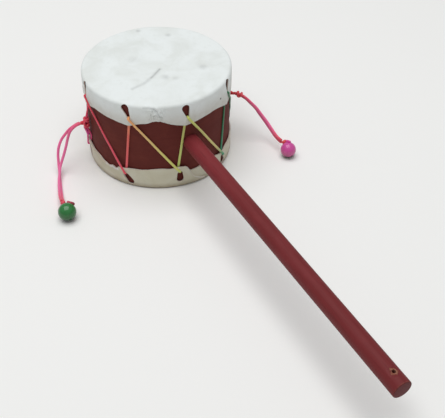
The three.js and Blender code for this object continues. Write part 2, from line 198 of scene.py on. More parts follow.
class Wire:
    """A node's output that takes part in sums, each of which adds a Math node."""

    def __init__(self, recipe: "Recipe", socket: bpy.types.NodeSocket) -> None:
        """Keeps the socket and the recipe whose nodes it belongs to."""
        self.recipe = recipe
        self.socket = socket

    def sum(self, operation: str, *values: Value) -> "Wire":
        """Adds a Math node of that operation on this wire and other values."""
        inputs = dict(enumerate((self, *values)))
        return self.recipe.node("ShaderNodeMath", {"operation": operation}, inputs)

    def __add__(self, other: Value) -> "Wire":
        """Adds."""
        return self.sum("ADD", other)

    __radd__ = __add__

    def __mul__(self, other: Value) -> "Wire":
        """Multiplies."""
        return self.sum("MULTIPLY", other)

    __rmul__ = __mul__

    def __sub__(self, other: Value) -> "Wire":
        """Subtracts."""
        return self.sum("SUBTRACT", other)

    def __rsub__(self, other: Value) -> "Wire":
        """Subtracts this wire from a value."""
        return self * -1.0 + other

    def __truediv__(self, other: Value) -> "Wire":
        """Divides."""
        return self.sum("DIVIDE", other)

    def __pow__(self, other: Value) -> "Wire":
        """Raises to a power."""
        return self.sum("POWER", other)

    def least(self, other: Value) -> "Wire":
        """Takes the smaller of two."""
        return self.sum("MINIMUM", other)

    def most(self, other: Value) -> "Wire":
        """Takes the larger of two."""
        return self.sum("MAXIMUM", other)

    def sine(self) -> "Wire":
        """Takes the sine."""
        return self.sum("SINE")

    def eased(self, low: float, high: float) -> "Wire":
        """Rises smoothly from 0 at one value to 1 at another, or falls where low is the larger."""
        settings = {"interpolation_type": "SMOOTHSTEP"}
        if low <= high:
            return self.recipe.node("ShaderNodeMapRange", settings, {0: self, 1: low, 2: high})
        risen = self.recipe.node("ShaderNodeMapRange", settings, {0: self, 1: high, 2: low})
        return 1.0 - risen


@dataclass(frozen=True)
class Stroke:
    """A mark along a chain of points, such as painted shade along a crease or a painted highlight along
    an edge.
    """

    points: tuple[Place, ...]
    width: float
    strength: float


class Recipe:
    """A material in the making."""

    def __init__(self, name: str) -> None:
        """Starts an empty material of that name."""
        self.material = bpy.data.materials.new(name)
        self.material.use_nodes = True
        self.tree = self.material.node_tree
        self.tree.nodes.clear()

    def node(
        self,
        kind: str,
        settings: Optional[dict] = None,
        inputs: Optional[dict] = None,
        output: Union[int, str] = 0,
    ) -> Wire:
        """Adds a node.

        Args:
            kind: The node's type.
            settings: Its properties, set first. The key stops holds a ramp's places and colours.
            inputs: Values or wires by the socket's number or name.
            output: The number or name of the socket that is returned.

        Returns:
            That output as a wire.
        """
        made = self.tree.nodes.new(kind)
        for key, value in (settings or {}).items():
            if key == "stops":
                self._set_stops(made.color_ramp, value)
            else:
                setattr(made, key, value)
        for key, value in (inputs or {}).items():
            if isinstance(value, Wire):
                self.tree.links.new(value.socket, made.inputs[key])
            else:
                made.inputs[key].default_value = value
        return Wire(self, made.outputs[output])

    @staticmethod
    def _set_stops(ramp: bpy.types.ColorRamp, stops: Dye) -> None:
        """Gives a ramp its places and colours."""
        while len(ramp.elements) < len(stops):
            ramp.elements.new(1.0)
        for element, (place, colour) in zip(ramp.elements, stops):
            element.position = place
            element.color = colour

    def vectors(self, operation: str, first: Value, second: Value, output: Union[int, str] = 0) -> Wire:
        """Adds a Vector Math node on two vectors."""
        inputs = {0: first, 1: second}
        return self.node("ShaderNodeVectorMath", {"operation": operation}, inputs, output)

    def scaled(self, vector: Value, scale: Value) -> Wire:
        """Scales a vector by a number."""
        inputs = {0: vector, "Scale": scale}
        return self.node("ShaderNodeVectorMath", {"operation": "SCALE"}, inputs)

    def place(self) -> Wire:
        """Gives the point on the surface in millimetres."""
        return self.scaled(self.node("ShaderNodeTexCoord", output="Object"), 1 / MM)

    def along_and_round(self) -> tuple[Wire, Wire]:
        """Gives a cord's own coordinates: millimetres along it and turns round it."""
        chart = self.node("ShaderNodeUVMap", {"uv_map": CHART})
        return self.axis(chart, "X"), self.axis(chart, "Y")

    def axis(self, vector: Wire, name: str) -> Wire:
        """Takes one number, X, Y or Z, of a vector."""
        return self.node("ShaderNodeSeparateXYZ", None, {0: vector}, name)

    def vector(self, x: Value, y: Value, z: Value) -> Wire:
        """Joins three numbers into a vector."""
        return self.node("ShaderNodeCombineXYZ", None, {0: x, 1: y, 2: z})

    def grain(self, where: Wire, size: float, detail: float = 3, distortion: float = 0) -> Wire:
        """Gives noise from 0 to 1 whose lumps have a size in millimetres."""
        inputs = {"Vector": where, "Scale": 1 / size, "Detail": detail, "Distortion": distortion}
        return self.node("ShaderNodeTexNoise", None, inputs, "Fac")

    def stretched(self, where: Wire, x: float, y: float, z: float) -> Wire:
        """Scales a vector along each axis."""
        return self.vectors("MULTIPLY", where, (x, y, z))

    def away_from(self, where: Wire, point: Place) -> Wire:
        """Gives the distance from a point."""
        return self.vectors("DISTANCE", where, point, "Value")

    def stroke(self, where: Wire, stroke: Stroke) -> Wire:
        """Gives the mask of a stroke, 1 on its line and 0 beside it."""
        nearest: Optional[Wire] = None
        for start, end in zip(stroke.points, stroke.points[1:]):
            along = Vector(end) - Vector(start)
            from_start = self.vectors("SUBTRACT", where, start)
            dot = self.vectors("DOT_PRODUCT", from_start, tuple(along / along.length_squared), "Value")
            foot = self.scaled(tuple(along), dot.most(0.0).least(1.0))
            away = self.vectors("DISTANCE", from_start, foot, "Value")
            nearest = away if nearest is None else nearest.least(away)
        return nearest.eased(stroke.width, 0.0) * stroke.strength

    def ramp(self, factor: Wire, stops: Dye) -> Wire:
        """Gives the colour at a share along a row of colours."""
        return self.node("ShaderNodeValToRGB", {"stops": stops}, {0: factor}, "Color")

    def blend(self, factor: Value, first: Value, second: Value) -> Wire:
        """Mixes two colours."""
        inputs = {0: factor, 6: first, 7: second}
        return self.node("ShaderNodeMix", {"data_type": "RGBA"}, inputs, 2)

    def relief(self, height: Wire, depth: float, under: Optional[Wire] = None) -> Wire:
        """Gives the normal of a relief.

        Args:
            height: The height, 0 to 1.
            depth: How many millimetres a height of 1 stands for.
            under: A coarser relief's normal.

        Returns:
            The bumped normal.
        """
        inputs: dict = {"Height": height, "Distance": depth * MM, "Strength": 1.0}
        if under is not None:
            inputs["Normal"] = under
        return self.node("ShaderNodeBump", None, inputs, "Normal")

    def finished(self, fixed: dict, **varying: Wire) -> bpy.types.Material:
        """Adds the shader.

        Args:
            fixed: Values by socket name that are the same all over.
            **varying: Wires by socket name, with underscores for spaces.

        Returns:
            The finished material.
        """
        inputs = {**fixed, **{name.replace("_", " "): wire for name, wire in varying.items()}}
        shader = self.node("ShaderNodeBsdfPrincipled", None, inputs, "BSDF")
        self.node_output(shader)
        return self.material

    def node_output(self, shader: Wire) -> None:
        """Adds the material's output."""
        end = self.tree.nodes.new("ShaderNodeOutputMaterial")
        self.tree.links.new(shader.socket, end.inputs["Surface"])


# Finishes


@dataclass(frozen=True)
class Spot:
    """A round mark: where it is, how large and how strong."""

    place: Place
    radius: float
    strength: float


@dataclass(frozen=True)
class Hide:
    """Stretched white rawhide with its marks, darkening towards the bottom, with painted shade along
    creases, painted highlights along edges and a painted dark pinhole.
    """

    name: str
    fresh: Rgb
    worn: Rgb
    # The colour it turns towards the bottom, and the two heights between which it does.
    bottom_colour: Rgb
    bottom_from: float
    bottom_to: float
    # Painted shade along creases.
    crease_shade_strokes: tuple[Stroke, ...] = ()
    # Painted highlights along edges.
    highlight_strokes: tuple[Stroke, ...] = ()
    # A pinhole, painted dark for the shell seen through it and the shade in it.
    pinhole_spots: tuple[Spot, ...] = ()
    smudges: tuple[Spot, ...] = ()
    # Painted crease shade, and the colour of the real smudges.
    crease_shade_and_stain: Rgb = srgb(128, 130, 130)
    # The painted highlights' colour.
    light: Rgb = srgb(236, 234, 240)
    # The pinhole's colour: the dark shell, with painted shade.
    pinhole_shade: Rgb = srgb(26, 24, 24)

    def made(self) -> bpy.types.Material:
        """Makes the material."""
        recipe = Recipe(self.name)
        where = recipe.place()
        cloud = recipe.grain(where, 16, 4, 0.6)
        mottle = recipe.grain(where, 3.2, 4)
        pores = recipe.grain(where, 0.55, 2)
        height = recipe.axis(where, "Z")
        colour = recipe.blend(cloud.eased(0.35, 0.75) * 0.8, self.fresh, self.worn)
        colour = recipe.blend(mottle.eased(0.5, 0.78) * 0.32, colour, self.worn)
        # Darkening towards the bottom, between two heights.
        towards_bottom = height.eased(self.bottom_from, self.bottom_to) * (0.35 + 0.75 * mottle)
        colour = recipe.blend(towards_bottom.least(1.0), colour, self.bottom_colour)
        # Painted shade along the creases, ragged by the mottle.
        for stroke in self.crease_shade_strokes:
            ragged = recipe.stroke(where, stroke) * (0.45 + 0.9 * mottle)
            colour = recipe.blend(ragged.least(1.0), colour, self.crease_shade_and_stain)
        # Painted highlights along edges.
        for stroke in self.highlight_strokes:
            colour = recipe.blend(recipe.stroke(where, stroke), colour, self.light)
        # The pinhole: painted dark for the shell seen through it and the shade in it.
        for spot in self.pinhole_spots:
            pinhole_mask = recipe.away_from(where, spot.place).eased(spot.radius, spot.radius * 0.55)
            colour = recipe.blend(pinhole_mask * spot.strength, colour, self.pinhole_shade)
        for spot in self.smudges:
            faint = recipe.away_from(where, spot.place).eased(spot.radius, 0.0) * (0.3 + mottle)
            colour = recipe.blend((faint * spot.strength).least(1.0), colour, self.crease_shade_and_stain)
        wrinkles = recipe.relief(recipe.grain(where, 2.6, 5, 0.8), 0.1)
        normal = recipe.relief(pores, 0.03, wrinkles)
        roughness = 0.5 + 0.18 * cloud + 0.1 * pores
        fixed = {"Specular IOR Level": 0.3, "Sheen Weight": 0.05}
        return recipe.finished(fixed, Base_Color=colour, Roughness=roughness, Normal=normal)


@dataclass(frozen=True)
class CutEdge:
    """The rough cut edge of the hide, paler and warmer than its face."""

    name: str
    core: Rgb
    fibre: Rgb

    def made(self) -> bpy.types.Material:
        """Makes the material."""
        recipe = Recipe(self.name)
        where = recipe.place()
        layers = recipe.grain(recipe.stretched(where, 1, 1, 4), 0.7, 3)
        colour = recipe.blend(layers.eased(0.35, 0.7), self.core, self.fibre)
        normal = recipe.relief(layers, 0.08)
        roughness = 0.7 + 0.15 * layers
        fixed = {"Specular IOR Level": 0.25}
        return recipe.finished(fixed, Base_Color=colour, Roughness=roughness, Normal=normal)


@dataclass(frozen=True)
class TurnedPaint:
    """Thin dark paint over a shell turned on a lathe, with its rings and blotches."""

    name: str
    paint: Rgb
    thin: Rgb
    thick: Rgb

    def made(self) -> bpy.types.Material:
        """Makes the material."""
        recipe = Recipe(self.name)
        where = recipe.place()
        rings = recipe.grain(recipe.stretched(where, 0.05, 0.05, 1), 0.8, 3)
        blotch = recipe.grain(where, 9, 4, 0.4)
        speck = recipe.grain(where, 0.9, 2)
        colour = recipe.blend(blotch.eased(0.42, 0.72) * 0.7, self.paint, self.thin)
        colour = recipe.blend((rings * 1.2 - 0.35).most(0.0) * 0.5, colour, self.thick)
        colour = recipe.blend(speck.eased(0.66, 0.8) * 0.35, colour, self.thin)
        coarse = recipe.relief(rings, 0.09)
        normal = recipe.relief(speck, 0.02, coarse)
        roughness = 0.66 + 0.12 * blotch + 0.08 * rings
        fixed = {"Specular IOR Level": 0.2}
        return recipe.finished(fixed, Base_Color=colour, Roughness=roughness, Normal=normal)


@dataclass(frozen=True)
class HandlePaint:
    """Half-gloss dark red paint on a dowel, brushed along it, chipped at its hole and end, with painted
    shade on its end face.
    """

    name: str
    paint: Rgb
    worn: Rgb
    worn_from: float
    worn_to: float
    # Paint in the brush marks, and painted shade on the end face.
    brush_and_end_shade: Rgb
    bright: Rgb
    wood: Rgb
    bare: Rgb
    axis_height: float
    hole: Place
    end: float
    radius: float

    def made(self) -> bpy.types.Material:
        """Makes the material."""
        recipe = Recipe(self.name)
        where = recipe.place()
        brushed = recipe.grain(recipe.stretched(where, 0.06, 1, 1), 0.8, 3)
        cloud = recipe.grain(recipe.stretched(where, 0.4, 1, 1), 7, 4, 0.5)
        speck = recipe.grain(where, 0.7, 2)
        along = recipe.axis(where, "X") + (cloud - 0.5) * 30.0
        colour = recipe.blend(along.eased(self.worn_from, self.worn_to), self.paint, self.worn)
        colour = recipe.blend(cloud.eased(0.5, 0.8) * 0.4, colour, self.bright)
        colour = recipe.blend(brushed.eased(0.5, 0.75) * 0.4, colour, self.brush_and_end_shade)
        bare = self._bare_wood(recipe, where, speck)
        streaks = recipe.grain(recipe.stretched(where, 0.12, 1, 1), 0.5, 2)
        wood = recipe.blend(streaks.eased(0.35, 0.7), self.wood, self.bare)
        colour = recipe.blend(bare, colour, wood)
        # Painted shade on the end face, flecked.
        end_face_shade = recipe.axis(where, "X").eased(self.end - 0.25, self.end - 0.05)
        colour = recipe.blend(end_face_shade * (0.45 + 0.4 * speck), colour, self.brush_and_end_shade)
        coarse = recipe.relief(brushed, 0.05)
        chipped = recipe.relief(1.0 - bare, 0.16, coarse)
        normal = recipe.relief(speck, 0.02, chipped)
        roughness = 0.45 + 0.1 * cloud + 0.14 * brushed + 0.25 * bare
        fixed = {"Specular IOR Level": 0.2}
        return recipe.finished(fixed, Base_Color=colour, Roughness=roughness, Normal=normal)

    def _bare_wood(self, recipe: Recipe, where: Wire, speck: Wire) -> Wire:
        """Gives where the paint is gone: round the hole, and in nicks along the end's edge."""
        ragged = recipe.grain(where, 1.1, 3)
        away = recipe.away_from(where, self.hole) + (ragged - 0.5) * 4.4
        round_hole = away.eased(2.0, 1.5)
        x, y, z = (recipe.axis(where, name) for name in "XYZ")
        off_axis = (y ** 2.0 + (z - self.axis_height) ** 2.0) ** 0.5
        edge = off_axis.eased(self.radius - 0.55, self.radius - 0.35)
        edge = edge * x.eased(self.end - 0.75, self.end - 0.35)
        nicks = edge * (ragged.eased(0.38, 0.6) * 0.3 + speck.eased(0.6, 0.7) * 0.2)
        return round_hole.most(nicks)


@dataclass(frozen=True)
class Satin:
    """A braided satin cord dyed along its length, with painted shade in its braid's crevices."""

    name: str
    length: float
    dye: Dye
    pitch: float
    carriers: int
    # How far the painted shade darkens the braid's crevices.
    groove: float

    def made(self) -> bpy.types.Material:
        """Makes the material."""
        recipe = Recipe(self.name)
        along, around = recipe.along_and_round()
        where = recipe.place()
        wander = recipe.grain(where, 5, 2)
        share = along / self.length + (wander - 0.5) * 0.006
        dyed = recipe.ramp(share, self.dye)
        lengthwise = 2 * math.pi / self.pitch * along
        crosswise = 2 * math.pi * self.carriers * around
        right, left = (lengthwise + crosswise).sine(), (lengthwise - crosswise).sine()
        braid = 0.5 + 0.5 * right * left
        threads = recipe.grain(recipe.vector(along * 0.7, around * 14.0, 0.0), 0.35, 2)
        # Painted shade in the braid's crevices: the dye darkened towards black.
        crevice_shade = recipe.blend(self.groove, dyed, BLACK)
        colour = recipe.blend((1.0 - braid) ** 2.0 * 0.8, dyed, crevice_shade)
        coarse = recipe.relief(braid, 0.07)
        normal = recipe.relief(threads, 0.025, coarse)
        roughness = 0.34 + 0.2 * threads
        fixed = {"Specular IOR Level": 0.45, "Sheen Weight": 0.25, "Sheen Roughness": 0.4}
        return recipe.finished(fixed, Base_Color=colour, Roughness=roughness, Normal=normal)


@dataclass(frozen=True)
class BeadGloss:
    """A glossy bead with fine scuffs, painted light on its upper part and painted shade below, both
    swirled like a cloud.
    """

    name: str
    body: Rgb
    # Painted light: the upper part turns to this lighter colour.
    cloud: Rgb
    # Painted shade on the underside.
    shade: Rgb
    cloud_size: float
    height: float

    def made(self) -> bpy.types.Material:
        """Makes the material."""
        recipe = Recipe(self.name)
        where = recipe.place()
        swirl = recipe.grain(where, self.cloud_size, 3, 1.4)
        fine = recipe.grain(where, 0.5, 2)
        share = recipe.axis(where, "Z") / self.height + (swirl - 0.5) * 0.35
        # Painted light towards the top and painted shade towards the bottom, swirled by the cloud.
        colour = recipe.blend(share.eased(0.4, 1.0), self.body, self.cloud)
        colour = recipe.blend(share.eased(0.5, 0.1), colour, self.shade)
        normal = recipe.relief(recipe.grain(where, 1.6, 2), 0.05)
        roughness = 0.14 + 0.12 * fine
        fixed = {"Specular IOR Level": 0.45, "Coat Weight": 0.2, "Coat Roughness": 0.08}
        return recipe.finished(fixed, Base_Color=colour, Roughness=roughness, Normal=normal)


@dataclass(frozen=True)
class FloorPaper:
    """The plain pale sheet that the drum stands on."""

    name: str
    colour: Rgb

    def made(self) -> bpy.types.Material:
        """Makes the material."""
        recipe = Recipe(self.name)
        fibre = recipe.grain(recipe.place(), 1.5, 2)
        fixed = {"Base Color": self.colour, "Specular IOR Level": 0.1}
        return recipe.finished(fixed, Roughness=0.85 + 0.1 * fibre)


# Making pieces


def linked(name: str, data: bpy.types.ID) -> bpy.types.Object:
    """Puts an object of some data in the scene, at the origin."""
    made = bpy.data.objects.new(name, data)
    bpy.context.scene.collection.objects.link(made)
    return made


def linked_mesh(name: str, mesh: bmesh.types.BMesh) -> bpy.types.Object:
    """Puts a mesh in the scene as an object, and frees it."""
    data = bpy.data.meshes.new(name)
    mesh.to_mesh(data)
    mesh.free()
    return linked(name, data)


@dataclass(frozen=True)
class Bench:
    """Turns meshes in millimetres into pieces that ride on the drum's one body."""

    body: str = "root"

    def piece(
        self,
        name: str,
        mesh: bmesh.types.BMesh,
        materials: Sequence[bpy.types.Material],
        slot: str,
        stands_for: Sequence[str] = (),
        sharp_above: float = 40,
    ) -> bpy.types.Object:
        """slot: The slot that its finish belongs to; not used.
            stands_for: The nodes that it replaces.
            sharp_above: The angle in degrees past which an edge stays sharp.

        Returns:
            The finished object.
        """
        for edge in mesh.edges:
            creased = edge.is_manifold and edge.calc_face_angle(0.0) > math.radians(sharp_above)
            edge.smooth = not creased
        for face in mesh.faces:
            face.smooth = True
        bmesh.ops.scale(mesh, vec=(MM, MM, MM), verts=mesh.verts)
        made = linked_mesh(name, mesh)
        for material in materials:
            made.data.materials.append(material)
        if stands_for:
            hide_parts(*stands_for)
        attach(made, self.body)
        LOG.info("%s: %d faces", name, len(made.data.polygons))
        return made

    @staticmethod
    def settle(made: bpy.types.Object) -> None:
        """Applies a piece's modifiers to its mesh."""
        seen = made.evaluated_get(bpy.context.evaluated_depsgraph_get())
        made.data = bpy.data.meshes.new_from_object(seen)
        made.modifiers.clear()

    def bore(
        self,
        made: bpy.types.Object,
        radius: float,
        length: float,
        centre: Place,
        turn: Matrix,
        sides: int,
    ) -> None:
        """Bores a round hole through a finished piece.

        Args:
            made: The piece.
            radius: The hole's radius.
            length: The drill's length.
            centre: The middle of the drill.
            turn: How the drill is turned from standing upright.
            sides: How many sides the hole has.
        """
        drill = bmesh.new()
        bmesh.ops.create_cone(
            drill,
            cap_ends=True,
            segments=sides,
            radius1=radius * MM,
            radius2=radius * MM,
            depth=length * MM,
            matrix=Matrix.Translation([value * MM for value in centre]) @ turn,
        )
        tool = linked_mesh("drill", drill)
        cut = made.modifiers.new("bore", "BOOLEAN")
        cut.operation = "DIFFERENCE"
        cut.solver = "EXACT"
        cut.object = tool
        self.settle(made)
        bpy.data.objects.remove(tool)


def closed(mesh: bmesh.types.BMesh) -> bmesh.types.BMesh:
    """Merges a closed mesh's doubles and turns its faces out."""
    bmesh.ops.remove_doubles(mesh, verts=mesh.verts, dist=1e-4)
    bmesh.ops.recalc_face_normals(mesh, faces=mesh.faces)
    return mesh


def spun(rows: Sequence[tuple[float, float]], steps: int) -> bmesh.types.BMesh:
    """Turns a section about Z.

    Args:
        rows: The section's distances from the axis and heights. It starts and ends on the axis, or
            its last row is its first.
        steps: How many sides it has.

    Returns:
        The closed mesh.
    """
    mesh = bmesh.new()
    ring = rows[0] == rows[-1]
    section = rows[:-1] if ring else rows
    corners = [mesh.verts.new((radius, 0, height)) for radius, height in section]
    pairs = list(zip(corners, corners[1:]))
    if ring:
        pairs.append((corners[-1], corners[0]))
    edges = [mesh.edges.new(pair) for pair in pairs]
    bmesh.ops.spin(
        mesh,
        geom=[*corners, *edges],
        cent=(0, 0, 0),
        axis=(0, 0, 1),
        angle=2 * math.pi,
        steps=steps,
        use_merge=True,
    )
    return closed(mesh)


def aimed(mesh: bmesh.types.BMesh, way: Vector, centre: Vector) -> bmesh.types.BMesh:
    """Turns a mesh's Z to a direction and moves its origin to a point."""
    turn = Vector((0, 0, 1)).rotation_difference(way.normalized()).to_matrix().to_4x4()
    bmesh.ops.transform(mesh, matrix=Matrix.Translation(centre) @ turn, verts=mesh.verts)
    return mesh


@dataclass(frozen=True)
class Cord:
    """A braided cord, round, or flattened where it lies on the drum.

    Flat is its thickness as a share of its width.
    """

    diameter: float = 1.5
    flat: float = 1.0
    sides: int = 16
    pitch: float = 1.2
    carriers: int = 4
    relief: float = 0.03
    step: float = 0.25
    end_round: float = 0.45
    unevenness: float = 0.03

    @property
    def radius(self) -> float:
        """Gives half the diameter."""
        return self.diameter / 2

    @property
    def half_thick(self) -> float:
        """Gives half its thickness."""
        return self.radius * self.flat

    def laid(
        self, line: Sequence[Vector], seed: float = 0.0, round_ends: bool = True
    ) -> bmesh.types.BMesh:
        """Lays the cord along a line.

        Args:
            line: The centre line's samples.
            seed: Where its slight unevenness starts.
            round_ends: Whether its ends are rounded off.

        Returns:
            Its closed mesh, with the chart of its length and its way round.
        """
        mesh = bmesh.new()
        chart = mesh.loops.layers.uv.new(CHART)
        last = len(line) - 1
        bmesh.ops.create_grid(mesh, x_segments=last, y_segments=self.sides, size=1, calc_uvs=True)
        frames = self.frames(line)
        along = [0.0]
        for start, end in zip(line, line[1:]):
            along.append(along[-1] + (end - start).length)
        for vert in mesh.verts:
            index = round((vert.co.x + 1) / 2 * last)
            around = (vert.co.y + 1) / 2
            point, side, up = frames[index]
            radius = self._radius_at(along[index], along[-1], around, seed, round_ends)
            angle = 2 * math.pi * around
            offset = (side * math.cos(angle) + up * math.sin(angle)) * radius
            if self.flat < 1:
                thin = Vector((-point.y, point.x, 0)).cross(side.cross(up)).normalized()
                offset -= thin * offset.dot(thin) * (1 - self.flat)
            vert.co = point + offset
        for face in mesh.faces:
            for loop in face.loops:
                share, around = loop[chart].uv
                loop[chart].uv = (along[round(share * last)], around)
        bmesh.ops.remove_doubles(mesh, verts=mesh.verts, dist=1e-4)
        open_edges = [edge for edge in mesh.edges if edge.is_boundary]
        bmesh.ops.holes_fill(mesh, edges=open_edges, sides=0)
        bmesh.ops.recalc_face_normals(mesh, faces=mesh.faces)
        return mesh

    def _radius_at(
        self, along: float, length: float, around: float, seed: float, round_ends: bool
    ) -> float:
        """Gives the surface's distance from the centre line at one place."""
        right = math.sin(2 * math.pi * (along / self.pitch + self.carriers * around))
        left = math.sin(2 * math.pi * (along / self.pitch - self.carriers * around))
        uneven = self.unevenness * noise.noise(Vector((along / 4, seed, 0)))
        radius = self.radius * (1 + uneven) + self.relief * right * left
        from_end = min(along, length - along)
        if round_ends and from_end < self.end_round:
            radius *= math.sqrt(max(1 - (1 - from_end / self.end_round) ** 2, 0.03))
        return radius

    @staticmethod
    def frames(line: Sequence[Vector]) -> list[tuple[Vector, Vector, Vector]]:
        """Gives each sample with two directions across the line that turn as little as they can."""
        ways = ways_along(line)
        side = ways[0].orthogonal().normalized()
        frames = []
        for index, (point, way) in enumerate(zip(line, ways)):
            if index:
                side = ways[index - 1].rotation_difference(way) @ side
            side = (side - way * side.dot(way)).normalized()
            frames.append((point, side, way.cross(side)))
        return frames


# The drum's own form


class Face(Enum):
    """Which way a skin's head faces."""

    UP = 1
    DOWN = -1


@dataclass(frozen=True)
class Tip:
    """The narrow end of a teardrop hole, where the cord pulls.

    Turn is in degrees round the drum and depth is measured from the skin's own head. Lean is how far
    the round end stands to the right of the tip, seen from outside, and aside how many degrees the
    upright run of the cord stands beside it.
    """

    turn: float
    depth: float
    lean: float
    aside: float = 0.0


@dataclass(frozen=True)
class Bite:
    """A wave of the cut edge: how much longer the skin is there, and how wide the wave is."""

    turn: float
    deeper: float
    spread: float


@dataclass(frozen=True)
class DrumForm:
    """The sizes that the drum's pieces share."""

    radius: float = 45.0
    height: float = 60.0
    skin: float = 0.7
    rim_round: float = 1.8
    gap: float = 0.3
    wall: float = 4.5
    handle_radius: float = 5.0
    handle_height: float = 31.3

    @property
    def shell_radius(self) -> float:
        """Gives the shell's outer radius."""
        return self.radius - self.skin - self.gap


@dataclass(frozen=True)
class SkinForm:
    """The outline of one skin: its cut edge, its holes and how the cord lifts it.

    Hole_reach is how many degrees from its tip a hole's faces are looked for.
    """

    drum: DrumForm
    face: Face
    edge: float
    hole_length: float
    tips: tuple[Tip, ...]
    bites: tuple[Bite, ...]
    hole_round: float = 2.3
    tip_round: float = 0.9
    hole_reach: float = 10.0
    lift: float = 0.85
    lift_spread: float = 3.0

    def height_at(self, depth: float) -> float:
        """Gives the height of a depth below the skin's head."""
        return self.drum.height - depth if self.face is Face.UP else depth

    def tip(self, index: int) -> Tip:
        """Gives a tip by its number, which goes on past a whole turn."""
        found = self.tips[index % len(self.tips)]
        return replace(found, turn=found.turn + 360 * (index // len(self.tips)))

    def edge_depth(self, turn: float) -> float:
        """Gives the depth of the cut edge's main waves at a turn."""
        waves = (b.deeper * swell(turned_by(turn, b.turn), b.spread) for b in self.bites)
        return self.edge + sum(waves)


@dataclass(frozen=True)
class HitchPlace:
    """Where a string is hitched on the lacing: which upright run, and how high."""

    run: int
    height: float


